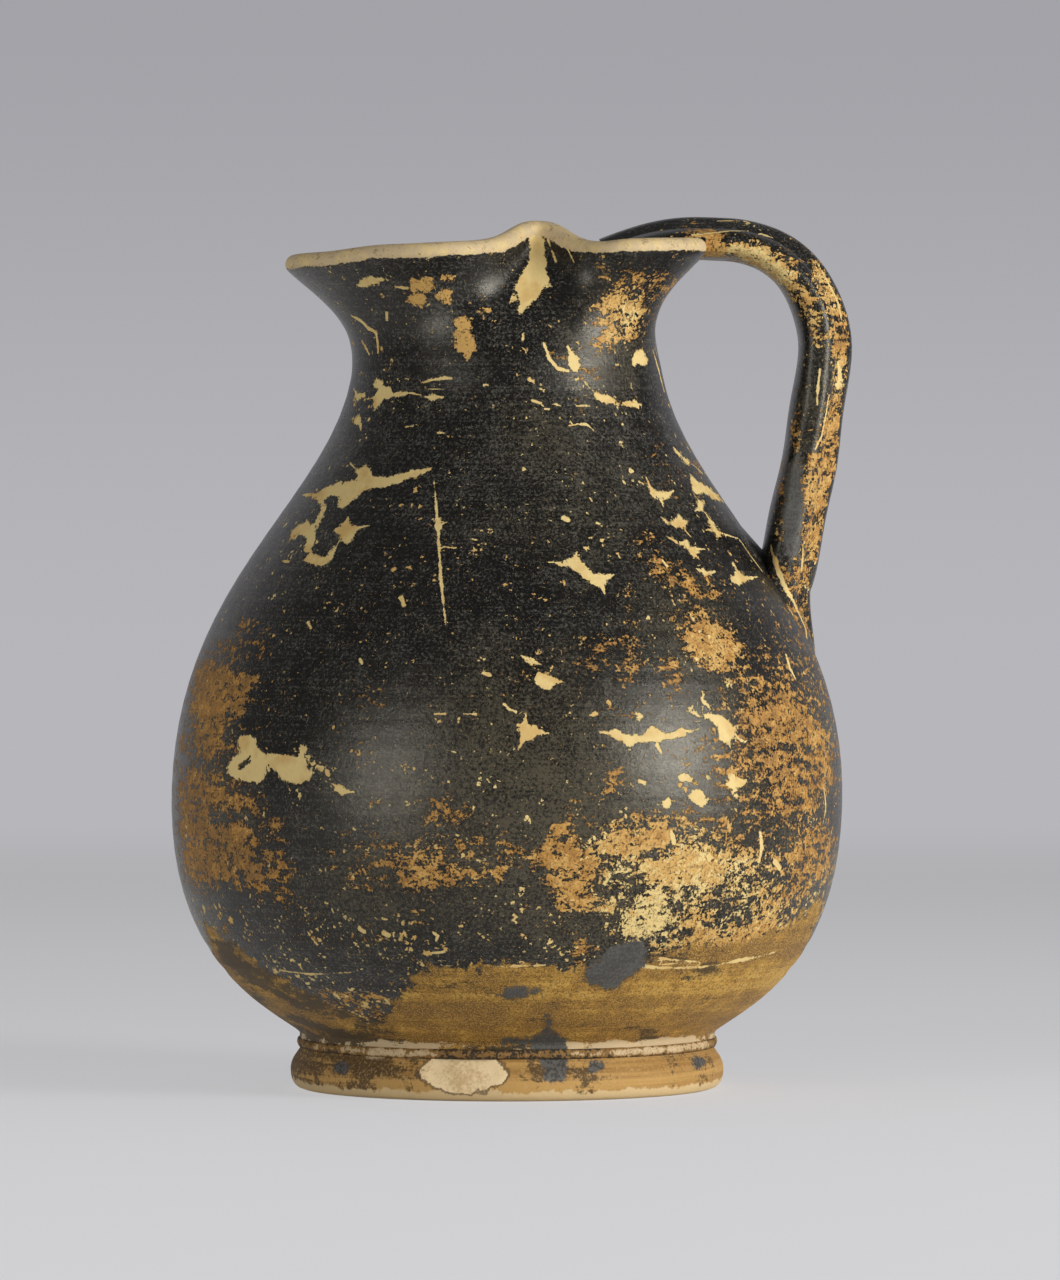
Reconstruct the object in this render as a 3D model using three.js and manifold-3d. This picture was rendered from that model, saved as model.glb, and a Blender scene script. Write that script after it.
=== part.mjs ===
// Trefoil oinochoe: a black-gloss wine jug of the squat chous shape, in millimetres.
// +Z is up, with the origin on the vessel's axis at the table. The handle is towards +X
// and the spout towards -X, so the jug is alike on both sides of the XZ plane.
// It is built as a potter builds it: a thrown body, a ring foot turned apart, a pulled strap
// handle, and the slip and clay that lute the three together.

import * as THREE from 'three';
import { LoftGeometry } from 'three/addons/geometries/LoftGeometry.js';
import { mergeVertices } from 'three/addons/utils/BufferGeometryUtils.js';
import Module from 'manifold-3d';

const wasm = await Module();
wasm.setup();

// Body, from the foot up. Radii are to the outer surface.
const footHeight = 11.6;
const waistRadius = 49.5;
const waistBand = 1.8;
const waistFlareOut = 6.1;
const waistFlareUp = 5.3;
const bellyRadius = 80;
const bellyHeight = 69.3;
const neckRadius = 36.4;
const neckHeight = 177.2;
const lipRadius = 47.6;
const lipHeight = 196;
const wallThickness = 5;
const lipThickness = 4.6;
const floorThickness = 6.5;
const floorDish = 1;
const floorCorner = 2;

// The flat rings of the underside, as shares of the waist, and of the floor inside, as shares of
// its edge.
const underHub = 0.25;
const underRim = 0.75;
const floorHub = 0.25;
const floorRim = 0.8;

// Fullness of the curves, as shares of the height that each one climbs.
const lowerBellyFullness = 0.744;
const shoulderFullness = 0.503;
const neckHollow = 0.316;
const throatHollow = 0.42;
const lipFlare = 0.5;
const lipSlope = 0.3;

// Trefoil mouth: both sides are folded in, the front and the two back lobes are drawn out, and
// the middle of the back is pressed in for the handle. The folds lift the lip in a sharp peak
// on a broad swell. The pressing starts below the neck's narrowest height, and the lip is
// pressed a little short of fully.
const pinchX = 7.4;
const pinchLean = 5;
const pinchDepth = 23;
const pinchWidth = 12;
const pinchSharpness = 1.6;
const peakRise = 3.6;
const peakWidth = 5;
const swellRise = 2.8;
const swellFrontWidth = 14;
const swellBackWidth = 9.5;
const mouthNarrowing = 6;
const spoutReach = 4.4;
const spoutDip = 1.1;
const spoutDipStart = 26;
const spoutDipEnd = 40;
const backReach = 3.4;
const backPress = 9;
const backPressWidth = 12;
const backRise = 2.8;
const pressStartBelowNeck = 8;
const pressEndAboveLip = 2;

// Foot ring.
const footRadius = 51.8;
const footBulgeHeight = 4.4;
const footRestRadius = 49.6;
const footRestWidth = 5.5;
const footInnerRadius = 39;
const footToe = 0.1;
const footBrow = 0.5;

// Handle: a strap with a raised rib along its back. Its tongue starts inside the mouth, its
// crest is a little beyond the lip, and its root stands on the shoulder's wall and sinks into it.
const handleReach = 75.9;
const handleReachHeight = 177.4;
const crestAboveLip = 6.8;
const crestBeyondLip = 4.6;
const crestFlatFront = 15;
const tongueInsideLip = 23.6;
const tongueDrop = 4.5;
const tongueLevel = 8.5;
const tongueLevelDrop = 0.6;
const tongueWidth = 34;
const tongueThickness = 7.4;
const crestWidth = 25;
const crestThickness = 7.9;
const handleWidth = 23;
const handleThickness = 9.8;
const ribHeight = 3;
const ribWidth = 4.2;
const sectionSquareness = 0.75;
const rootHeight = 121;
const rootStandoff = 1.4;
const rootLean = 4;
const rootWidth = 29;
const rootThickness = 10.8;
const rootEndHeight = 96;
const rootEndSink = 7.3;
const rootEndLean = 1.8;
const rootEndRise = 7.5;
const rootEndWidth = 11.6;
const rootEndThickness = 6.6;
const handleTop = lipHeight + crestAboveLip;

// Fullness of the handle's curves, as shares of the way from one end to the other.
const crestFullness = 0.45;
const reachFullness = 0.63;
const fallFullness = 0.15;
const rootFullness = 0.25;
const rootEndFullness = 0.2;

// Luting clay and slip, and the gap left between pieces.
const gap = 0.3;
const slipThickness = 0.7;
const slipBead = 1;
const slipInset = 1;
const beadFoot = 0.4;
const beadCrest = 0.6;
const beadShoulder = 0.2;
const filletReach = 2.4;
const rimClayLength = 17;
const rimClayDepth = 9;
const rimClayTuck = 1;
const rimClayMargin = 3;

// Fineness of the faceted surfaces.
const around = 60;
const lowerSteps = 8;
const upperSteps = 11;
const throatSteps = 7;
const lipSteps = 4;
const handleSides = 18;
const tongueSteps = 5;
const bendSteps = 9;
const fallSteps = 8;
const rootSteps = 6;
const footSteps = 5;
const wadSides = 20;
const wadSteps = 12;
const normalTurn = 0.01;
const weld = 1e-4;

// A smooth climb from 0 to 1 between two values.
function ramp(value, low, high) {
  const t = THREE.MathUtils.clamp((value - low) / (high - low), 0, 1);
  return t * t * (3 - 2 * t);
}

// A bell of height 1 around 0, sharper at its top for a lower power.
function bell(u, power = 2) {
  return Math.exp(-(Math.abs(u) ** power));
}

// A cubic curve in a plane from four pairs of numbers.
function curve(...pairs) {
  return new THREE.CubicBezierCurve(...pairs.map(([a, b]) => new THREE.Vector2(a, b)));
}

// The outer profile of the thrown body as radius and height, from the waist to the lip. Its
// curves run upright at the belly and at the neck.
function bodyProfile() {
  const spring = footHeight + waistBand;
  const bellyClimb = bellyHeight - spring;
  const neckClimb = neckHeight - bellyHeight;
  const lipClimb = lipHeight - neckHeight;
  const lower = curve(
    [waistRadius, spring],
    [waistRadius + waistFlareOut, spring + waistFlareUp],
    [bellyRadius, bellyHeight - lowerBellyFullness * bellyClimb],
    [bellyRadius, bellyHeight]);
  const upper = curve(
    [bellyRadius, bellyHeight],
    [bellyRadius, bellyHeight + shoulderFullness * neckClimb],
    [neckRadius, neckHeight - neckHollow * neckClimb],
    [neckRadius, neckHeight]);
  const throat = curve(
    [neckRadius, neckHeight],
    [neckRadius, neckHeight + throatHollow * lipClimb],
    [lipRadius - lipFlare * (lipRadius - neckRadius), lipHeight - lipSlope * lipClimb],
    [lipRadius, lipHeight]);
  return [
    new THREE.Vector2(waistRadius, footHeight),
    ...lower.getPoints(lowerSteps),
    ...upper.getPoints(upperSteps).slice(1),
    ...throat.getPoints(throatSteps).slice(1)];
}

// The outer radius of the thrown body at a height.
function wallAt(height) {
  const profile = bodyProfile();
  const next = profile.findIndex((point) => point.y > height);
  const { x: radiusA, y: heightA } = profile[next - 1];
  const { x: radiusB, y: heightB } = profile[next];
  return radiusA + (radiusB - radiusA) * (height - heightA) / (heightB - heightA);
}

// Presses the round mouth into a trefoil. A point of the thrown shape, given by its angle
// around the axis, radius and height, moves further the nearer it is to the lip.
function pressed(angle, radius, height) {
  const open = ramp(height, neckHeight - pressStartBelowNeck, lipHeight + pressEndAboveLip);
  const x = radius * Math.cos(angle);
  const y = radius * Math.sin(angle);
  const side = Math.abs(Math.sin(angle));
  const drawn = backReach - backPress * bell(y / backPressWidth);
  const along = open * (drawn * ramp(x, 0, lipRadius) - spoutReach * ramp(-x, 0, lipRadius));
  const fold = x - pinchX + pinchLean * (1 - open);
  const crease = pinchDepth * open * bell(fold / pinchWidth, pinchSharpness);
  const inwards = side * open * (mouthNarrowing + crease);
  const peak = peakRise * bell(fold / peakWidth);
  const swell = swellRise * bell(fold / (fold < 0 ? swellFrontWidth : swellBackWidth));
  const tilt = backRise * (x / lipRadius + 1) / 2 - spoutDip * ramp(-x, spoutDipStart, spoutDipEnd);
  return new THREE.Vector3(x + along, y - Math.sign(y) * inwards, height + open * (peak + swell + tilt));
}

// The thrown wall as rings: up the outside, over the rounded lip, and down the inside to
// the floor. Clearance swells the clay all over, for the tool that cuts a neighbour to fit.
function bodyRings(clearance) {
  const profile = bodyProfile();
  const last = profile.length - 1;
  const floorTop = footHeight + floorThickness;
  const outside = profile.map(() => []);
  const inside = profile.map(() => []);
  const lip = Array.from({ length: lipSteps }, () => []);
  for (let k = 0; k < around; k++) {
    const angle = 2 * Math.PI * k / around;
    profile.forEach(({ x: radius, y: height }, i) => {
      const before = profile[Math.max(i - 1, 0)];
      const after = profile[Math.min(i + 1, last)];
      const up = pressed(angle, after.x, after.y).sub(pressed(angle, before.x, before.y));
      const round = pressed(angle + normalTurn, radius, height)
        .sub(pressed(angle - normalTurn, radius, height));
      const normal = round.cross(up).normalize();
      const place = pressed(angle, radius, height);
      const thickness = THREE.MathUtils.lerp(wallThickness, lipThickness, i / last);
      outside[i].push(place.clone().addScaledVector(normal, clearance));
      inside[i].push(place.clone().addScaledVector(normal, -thickness - clearance));
      if (i < last) return;
      const centre = place.clone().addScaledVector(normal, -thickness / 2);
      const over = up.normalize();
      for (let n = 0; n < lipSteps; n++) {
        const bend = Math.PI * (n + 1) / (lipSteps + 1);
        lip[n].push(centre.clone()
          .addScaledVector(normal, Math.cos(bend) * (thickness / 2 + clearance))
          .addScaledVector(over, Math.sin(bend) * (thickness / 2 + clearance)));
      }
    });
  }
  const walls = inside.filter((ring) => ring[0].z > floorTop + floorCorner).reverse();
  const floorEdge = walls[walls.length - 1];
  const flat = (ring, share, height) =>
    ring.map(({ x, y }) => new THREE.Vector3(x * share, y * share, height));
  return [
    flat(outside[0], underHub, footHeight - floorDish - clearance),
    flat(outside[0], underRim, footHeight - clearance),
    ...outside,
    ...lip,
    ...walls,
    flat(floorEdge, floorRim, floorTop + clearance),
    flat(floorEdge, floorHub, floorTop + floorDish + clearance)];
}

// The strap's middle line as four curves of x and z: the tongue, the bend over the top, the
// fall and the root. The fall and the root meet without a corner.
function handleCurves() {
  const crestX = lipRadius + crestBeyondLip;
  const rootX = wallAt(rootHeight) + rootStandoff;
  const rootEndX = wallAt(rootEndHeight) - rootEndSink;
  const tongueX = lipRadius - tongueInsideLip;
  const drop = handleReachHeight - rootHeight;
  const slant = rootLean / (rootFullness * drop);
  const tail = rootEndFullness * (rootHeight - rootEndHeight);
  return [
    curve(
      [tongueX, handleTop - tongueDrop],
      [tongueX + tongueLevel, handleTop - tongueLevelDrop],
      [crestX - crestFlatFront, handleTop],
      [crestX, handleTop]),
    curve(
      [crestX, handleTop],
      [crestX + crestFullness * (handleReach - crestX), handleTop],
      [handleReach, handleReachHeight + reachFullness * (handleTop - handleReachHeight)],
      [handleReach, handleReachHeight]),
    curve(
      [handleReach, handleReachHeight],
      [handleReach, handleReachHeight - fallFullness * drop],
      [rootX + rootLean, rootHeight + rootFullness * drop],
      [rootX, rootHeight]),
    curve(
      [rootX, rootHeight],
      [rootX - slant * tail, rootHeight - tail],
      [rootEndX + rootEndLean, rootEndHeight + rootEndRise],
      [rootEndX, rootEndHeight])];
}

// The pulled strap as sections along its middle line. Growth swells the section, for the tool
// that cuts the clay round it.
function handleSections(growth) {
  const [tongue, bend, fall, root] = handleCurves();
  const widths = [tongueWidth, crestWidth, handleWidth, rootWidth, rootEndWidth];
  const thicknesses = [tongueThickness, crestThickness, handleThickness, rootThickness, rootEndThickness];
  const stretches = [
    { line: tongue, steps: tongueSteps },
    { line: bend, steps: bendSteps },
    { line: fall, steps: fallSteps },
    { line: root, steps: rootSteps }];
  const sections = [];
  for (const [n, { line, steps }] of stretches.entries()) {
    for (let i = sections.length ? 1 : 0; i <= steps; i++) {
      const t = i / steps;
      const { x: centreX, y: centreZ } = line.getPoint(t);
      const { x: alongX, y: alongZ } = line.getTangent(t);
      const halfWidth = THREE.MathUtils.lerp(widths[n], widths[n + 1], ramp(t, 0, 1)) / 2;
      const halfThick = THREE.MathUtils.lerp(thicknesses[n], thicknesses[n + 1], ramp(t, 0, 1)) / 2;
      const rib = ribHeight * Math.min(1, 2 * halfThick / handleThickness);
      const section = [];
      for (let k = 0; k < handleSides; k++) {
        const turn = 2 * Math.PI * (k + 0.5) / handleSides;
        const soft = (v) => Math.sign(v) * Math.abs(v) ** sectionSquareness;
        const across = soft(Math.cos(turn)) * halfWidth;
        const raised = Math.sin(turn) > 0 ? rib * bell(across / ribWidth) : 0;
        const out = soft(Math.sin(turn)) * halfThick + raised - rib / 2 + growth * Math.sign(Math.sin(turn));
        section.push(new THREE.Vector3(
          centreX - alongZ * out,
          across + growth * Math.cos(turn),
          centreZ + alongX * out));
      }
      sections.push(section);
    }
  }
  return sections;
}

// A closed loft as one merged solid, ready to be cut.
function solidOf(loft) {
  const geometry = new THREE.BufferGeometry();
  geometry.setAttribute('position', loft.attributes.position);
  geometry.setIndex(loft.index);
  const merged = mergeVertices(geometry, weld);
  return new wasm.Manifold(new wasm.Mesh({
    numProp: 3,
    vertProperties: Float32Array.from(merged.attributes.position.array),
    triVerts: Uint32Array.from(merged.index.array) }));
}

// A cut solid as geometry again, without the crumbs that a cut leaves behind the wall.
function geometryOf(solid) {
  const pieces = solid.decompose().sort((a, b) => b.volume() - a.volume());
  const mesh = pieces[0].getMesh();
  const geometry = new THREE.BufferGeometry();
  geometry.setAttribute('position', new THREE.Float32BufferAttribute(mesh.vertProperties, 3));
  geometry.setIndex(new THREE.Uint32BufferAttribute(mesh.triVerts, 1));
  geometry.computeVertexNormals();
  return geometry;
}

const capped = { capStart: true, capEnd: true };
const bodySolid = (clearance) => solidOf(new LoftGeometry(bodyRings(clearance), capped));
const handleSolid = (growth) => solidOf(new LoftGeometry(handleSections(growth), capped));

// A surface of revolution about the vessel's axis, from a closed outline of radius and height.
function turned(outline) {
  const geometry = new THREE.LatheGeometry([...outline, outline[0]], around);
  geometry.rotateX(Math.PI / 2);
  return geometry;
}

// The foot ring: a low swelling ring with a flat resting edge and a sloping inner face.
function footRing() {
  const top = footHeight - 2 * gap - slipThickness;
  const outline = new THREE.Shape();
  outline.moveTo(footInnerRadius, top);
  outline.lineTo(footRestRadius - footRestWidth, 0);
  outline.lineTo(footRestRadius, 0);
  const brow = footBulgeHeight + footBrow * (top - footBulgeHeight);
  outline.quadraticCurveTo(footRadius, footToe * footBulgeHeight, footRadius, footBulgeHeight);
  outline.quadraticCurveTo(footRadius, brow, waistRadius - gap, top);
  const points = outline.getPoints(footSteps).slice(0, -1);
  return turned([...points, new THREE.Vector2(waistRadius - gap, top)]);
}

// The slip that lutes the foot to the body, squeezed out in a bead round the joint.
function footSlip() {
  const low = footHeight - gap - slipThickness;
  const high = footHeight - gap;
  const bead = waistRadius + gap;
  return turned([
    new THREE.Vector2(footInnerRadius + slipInset, high),
    new THREE.Vector2(footInnerRadius + slipInset, low),
    new THREE.Vector2(bead, low),
    new THREE.Vector2(bead + slipBead, low + beadFoot * slipBead),
    new THREE.Vector2(bead + slipBead, high + beadCrest * slipBead),
    new THREE.Vector2(bead + beadShoulder * slipBead, high + beadFoot * slipBead),
    new THREE.Vector2(bead, high)]);
}

const jug = new THREE.Group();

function addPiece(name, geometry, color, roughness) {
  const material = new THREE.MeshStandardMaterial({ color, roughness, metalness: 0 });
  const mesh = new THREE.Mesh(geometry, material);
  mesh.name = name;
  jug.add(mesh);
}

// The clay under the handle's tongue, pressed between it and the back of the mouth.
function rimClay() {
  const wad = new THREE.SphereGeometry(1, wadSides, wadSteps);
  wad.scale(rimClayLength / 2, tongueWidth / 2 - rimClayMargin, rimClayDepth);
  wad.translate(
    lipRadius - tongueInsideLip + rimClayLength / 2 - rimClayTuck, 0,
    handleTop - rimClayDepth - rimClayTuck);
  return solidOf(wad).subtract(bodyTool).subtract(handleSolid(gap));
}

// The clay smoothed round the handle's root: where the swollen strap meets the swollen wall.
function rootClay() {
  const sections = rootSteps + fallSteps / 2 + 1;
  const root = (growth) => solidOf(new LoftGeometry(handleSections(growth).slice(-sections), capped));
  return root(filletReach).intersect(bodySolid(filletReach)).subtract(bodyTool).subtract(root(gap));
}

const bodyTool = bodySolid(gap);
addPiece('vessel_body', new LoftGeometry(bodyRings(0), capped), 0x17171a, 0.28);
addPiece('foot_ring', footRing(), 0x8a6238, 0.6);
addPiece('foot_slip', footSlip(), 0xc9a878, 0.85);
addPiece('handle', geometryOf(handleSolid(0).subtract(bodyTool)), 0x1b1a1b, 0.32);
addPiece('handle_rim_clay', geometryOf(rimClay()), 0x2a211b, 0.6);
addPiece('handle_root_clay', geometryOf(rootClay()), 0x3a2b1e, 0.6);

export default jug;
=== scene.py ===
import bpy
import numpy as np
from bpy.props import FloatProperty, FloatVectorProperty, PointerProperty
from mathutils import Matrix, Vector
from mathutils.bvhtree import BVHTree


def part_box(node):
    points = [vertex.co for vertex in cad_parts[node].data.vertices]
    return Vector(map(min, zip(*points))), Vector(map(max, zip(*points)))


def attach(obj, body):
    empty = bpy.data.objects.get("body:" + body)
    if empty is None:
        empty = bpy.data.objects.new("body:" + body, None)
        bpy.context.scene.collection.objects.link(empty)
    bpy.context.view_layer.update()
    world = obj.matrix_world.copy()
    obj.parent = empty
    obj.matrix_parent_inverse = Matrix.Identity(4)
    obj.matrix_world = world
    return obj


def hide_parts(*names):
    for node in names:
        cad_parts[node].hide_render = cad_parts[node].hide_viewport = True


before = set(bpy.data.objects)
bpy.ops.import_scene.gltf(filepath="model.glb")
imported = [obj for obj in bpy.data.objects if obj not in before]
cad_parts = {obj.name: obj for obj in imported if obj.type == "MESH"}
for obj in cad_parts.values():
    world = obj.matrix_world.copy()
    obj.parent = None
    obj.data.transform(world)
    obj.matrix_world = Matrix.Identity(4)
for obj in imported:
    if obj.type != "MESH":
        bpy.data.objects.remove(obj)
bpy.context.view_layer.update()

bl_info = {
    "name": "Trefoil oinochoe",
    "version": (1, 0, 0),
    "blender": (4, 5, 0),
    "location": "3D View > Sidebar > Jug",
    "description": "A worn black-gloss wine jug with a trefoil mouth, built round its packed frame",
    "category": "Object",
}

BODY_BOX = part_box("vessel_body")
FOOT_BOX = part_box("foot_ring")
MM = 0.001
MM_PER_METRE = 1000.0

# The photograph's frame and the camera that took it. Pixels are counted from its top left.
PHOTO_WIDTH, PHOTO_HEIGHT = 1060, 1280
AXIS_PIXEL = 507
TABLE_PIXEL = 1087
BELLY_PIXELS = 334.5
CAMERA_DISTANCE = 2.0
CAMERA_HEIGHT = 0.143
SENSOR = 36.0
METRES_PER_PIXEL = BODY_BOX[1].y / BELLY_PIXELS
MM_PER_PIXEL = METRES_PER_PIXEL * MM_PER_METRE
AIM = np.array([
    (PHOTO_WIDTH / 2 - AXIS_PIXEL) * METRES_PER_PIXEL, 0.0,
    (TABLE_PIXEL - PHOTO_HEIGHT / 2) * METRES_PER_PIXEL])
EYE = np.array([AIM[0], -CAMERA_DISTANCE, CAMERA_HEIGHT])
FOCAL_PIXELS = np.linalg.norm(AIM - EYE) / METRES_PER_PIXEL

# The stage: how much of the near floor's look is glow and not light that falls on it, the place of
# each light in metres with its width and height, the spot that both face, and the sky's colour.
NEAR_SHARE = 0.6
RIGHT_LIGHT = (1.38, -0.78, 0.42), 0.62, 0.62
LEFT_LIGHT = (-0.953, -1.136, 0.30), 0.30, 0.34
LIT_SPOT = (0, 0, 0.1)
SKY_COLOUR = (0.95, 0.97, 1.0, 1.0)

# Sizes in metres that the driving ones leave alone: the body's floor, the height above which a
# point can belong to the lip and how near to its middle line, the heights of the strap's widest
# reach, of its root and of its end, how deep it may sink in the wall and below which height, and
# the distance that stands for far from any mark.
FLOOR_THICKNESS = 0.0065
LIP_ZONE, LIP_REACH = 0.18, 0.0034
REACH_HEIGHT, ROOT_HEIGHT, ROOT_END = 0.1774, 0.121, 0.096
SUNK_DEPTH, SHOULDER_TOP = 0.0015, 0.15
FAR = 0.05

# The finish: the pixels that stand for far from an outline and those over which rubbing fades, the
# heights of the smear over the joint and of its bead, the sheen, the depths of relief in metres,
# and how the side that the photograph hides repeats the near one: turned half round or mirrored.
FAR_PIXELS, FADE_PIXELS = 16.0, 20.0
SMEAR_HEIGHT_MM, BEAD_HEIGHT_MM = 12.4, 11.0
GLOSS_IOR, SHEEN_TINT = 1.46, (1.0, 0.94, 0.80, 1.0)
GLOSS_RELIEF, FOOT_RELIEF, SLIP_RELIEF = 0.00013, 0.00022, 0.0002
TURNED_BEHIND = (-1, -1, 1)
MIRRORED_BEHIND = (1, -1, 1)

# Wear, read from the photograph. A shape is an outline of (x, y) in pixels, a stroke is a
# line of (x, y, half width), and a cloud is (x, y, half width, half height, strength).
CREAM_SHAPES = [
    [(356, 286), (360, 280), (371, 276), (387, 278), (386, 280), (375, 285), (366, 288),
     (357, 287)],
    [(352, 405), (355, 398), (354, 389), (360, 393), (366, 392), (365, 398), (358, 400),
     (354, 406)],
    [(367, 399), (374, 396), (378, 388), (373, 384), (378, 377), (382, 380), (383, 385),
     (390, 388), (393, 392), (406, 391), (411, 393), (397, 397), (386, 398), (382, 401),
     (378, 408), (374, 410), (372, 405), (375, 400)],
    [(423, 397), (431, 393), (442, 397), (433, 401)],
    [(351, 419), (358, 414), (362, 418), (361, 430), (359, 425), (352, 422)],
    [(303, 495), (318, 492), (326, 487), (334, 484), (338, 480), (343, 484), (352, 481),
     (358, 479), (356, 472), (351, 464), (358, 469), (366, 465), (370, 468), (371, 475),
     (378, 477), (386, 477), (402, 473), (418, 469), (431, 468), (423, 474), (405, 480),
     (393, 485), (385, 488), (373, 489), (363, 491), (358, 494), (354, 500), (347, 505),
     (342, 510), (338, 505), (340, 497), (331, 495), (324, 501), (326, 508), (324, 515),
     (320, 522), (315, 530), (316, 539), (312, 548), (310, 556), (304, 551), (306, 538),
     (298, 534), (288, 543), (291, 532), (302, 523), (308, 520), (311, 526), (318, 519),
     (320, 508), (318, 500), (308, 497)],
    [(332, 530), (343, 524), (348, 517), (351, 526), (367, 526), (356, 531), (354, 536),
     (348, 546), (343, 542), (340, 534), (335, 532)],
    [(304, 560), (312, 553), (320, 556), (329, 554), (340, 540), (333, 558), (324, 565),
     (315, 566)],
    [(433, 520), (438, 514), (443, 522), (441, 530), (435, 532)],
    [(569, 354), (568, 346), (572, 350), (579, 359), (580, 366), (577, 374), (573, 371),
     (568, 365)],
    [(632, 361), (634, 353), (640, 350), (646, 354), (648, 361), (647, 365), (638, 364),
     (634, 366)],
    [(585, 382), (592, 390), (602, 394), (608, 394), (616, 400), (626, 402), (635, 400),
     (643, 406), (639, 408), (627, 406), (614, 405), (603, 402), (598, 400), (592, 392)],
    [(549, 562), (563, 561), (572, 559), (577, 553), (580, 560), (586, 566), (594, 572),
     (604, 574), (613, 575), (607, 580), (603, 588), (597, 587), (590, 583), (582, 577),
     (572, 568), (562, 566)],
    [(647, 479), (654, 490), (663, 492), (673, 491), (670, 497), (664, 499), (663, 506),
     (659, 499), (652, 497)],
    [(674, 448), (680, 453), (689, 461), (690, 465), (683, 461), (676, 454)],
    [(690, 475), (697, 481), (706, 485), (716, 493), (724, 503), (711, 498), (703, 493),
     (695, 496), (692, 489)],
    [(696, 497), (704, 502), (702, 511), (695, 511), (699, 506)],
    [(705, 513), (713, 520), (718, 530), (736, 538), (721, 536), (717, 539), (715, 533),
     (706, 530), (712, 527)],
    [(662, 518), (669, 523), (679, 515), (682, 519), (689, 523), (685, 526), (690, 536),
     (680, 527), (671, 526)],
    [(667, 537), (678, 542), (687, 540), (692, 546), (704, 549), (697, 553), (699, 559),
     (690, 553), (683, 546)],
    [(728, 577), (735, 574), (733, 563), (740, 571), (744, 576), (757, 577), (746, 581),
     (740, 586), (733, 583)],
    [(697, 569), (703, 568), (710, 571), (716, 571), (711, 576), (704, 576)],
    [(521, 655), (529, 656), (540, 664), (532, 666), (525, 662)],
    [(534, 677), (539, 672), (547, 672), (555, 677), (563, 682), (554, 685), (549, 692),
     (542, 688), (535, 684)],
    [(526, 713), (529, 725), (538, 728), (544, 732), (551, 733), (541, 735), (535, 738),
     (526, 741), (519, 748), (520, 740), (521, 731), (517, 725), (522, 724)],
    [(601, 732), (611, 731), (615, 728), (620, 732), (627, 734), (634, 735), (640, 734),
     (646, 734), (647, 729), (650, 724), (654, 725), (657, 729), (663, 732), (668, 734),
     (674, 732), (679, 728), (685, 729), (692, 730), (701, 728), (695, 732), (688, 734),
     (684, 737), (678, 737), (671, 739), (665, 740), (658, 742), (651, 742), (644, 742),
     (639, 742), (635, 744), (632, 747), (630, 750), (627, 746), (622, 742), (618, 740),
     (612, 737), (606, 735)],
    [(695, 715), (701, 718), (706, 720), (712, 722), (715, 726), (719, 730), (718, 735),
     (719, 739), (721, 743), (726, 742), (730, 747), (731, 741), (734, 737), (735, 732),
     (738, 727), (735, 726), (731, 724), (726, 718), (721, 715), (715, 714), (708, 713),
     (702, 716), (698, 714)],
    [(685, 709), (693, 706), (692, 711), (698, 714), (692, 713), (688, 713)],
    [(634, 712), (637, 711), (640, 713), (644, 718), (641, 721), (637, 720), (634, 716)],
    [(678, 773), (685, 774), (691, 776), (695, 778), (697, 781), (694, 784), (690, 782),
     (686, 781), (681, 780), (678, 777)],
    [(703, 773), (709, 774), (712, 777), (708, 780), (704, 777)],
    [(728, 775), (733, 774), (737, 777), (741, 779), (746, 779), (749, 781), (747, 784),
     (743, 784), (740, 787), (737, 788), (735, 792), (738, 798), (735, 799), (732, 795),
     (732, 789), (729, 787), (726, 785), (729, 781)],
    [(689, 793), (693, 790), (698, 789), (702, 791), (705, 794), (708, 798), (710, 802),
     (707, 803), (705, 801), (703, 805), (701, 808), (698, 805), (695, 803), (692, 801),
     (686, 799), (688, 796)],
    [(657, 805), (662, 803), (665, 798), (668, 798), (671, 801), (675, 799), (678, 801),
     (675, 803), (671, 804), (669, 808), (665, 810), (662, 806)],
    [(648, 806), (651, 804), (654, 806), (651, 809), (648, 809)],
    [(730, 760), (734, 758), (736, 761), (733, 765)],
    [(681, 816), (686, 818), (685, 822), (681, 820)],
    [(688, 824), (693, 825), (700, 829), (701, 831), (695, 830), (689, 828)],
    [(724, 681), (729, 678), (732, 682), (731, 689), (727, 687)],
    [(237, 736), (248, 735), (256, 737), (257, 747), (265, 753), (275, 754), (285, 755),
     (298, 756), (300, 753), (298, 746), (303, 745), (309, 749), (308, 754), (304, 756),
     (313, 760), (318, 764), (326, 767), (323, 772), (318, 769), (310, 764), (305, 764),
     (307, 769), (313, 773), (312, 779), (303, 782), (299, 785), (293, 784), (288, 781),
     (280, 781), (279, 774), (272, 768), (267, 764), (267, 777), (261, 783), (249, 782),
     (237, 779), (229, 774), (227, 768), (231, 760), (238, 755), (239, 747), (237, 741)],
    [(333, 784), (344, 787), (353, 792), (342, 796), (335, 791)],
    [(527, 232), (533, 226), (541, 228), (544, 244), (545, 254), (547, 264), (547, 275),
     (551, 287), (545, 288), (541, 294), (536, 300), (529, 306), (521, 314), (516, 309),
     (519, 303), (516, 294), (510, 303), (512, 294), (518, 280), (521, 275), (528, 264),
     (529, 254), (531, 245)],
]
CREAM_HOLES = [
    [(238, 767), (243, 760), (251, 756), (252, 759), (245, 765), (240, 770)],
]
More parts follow.
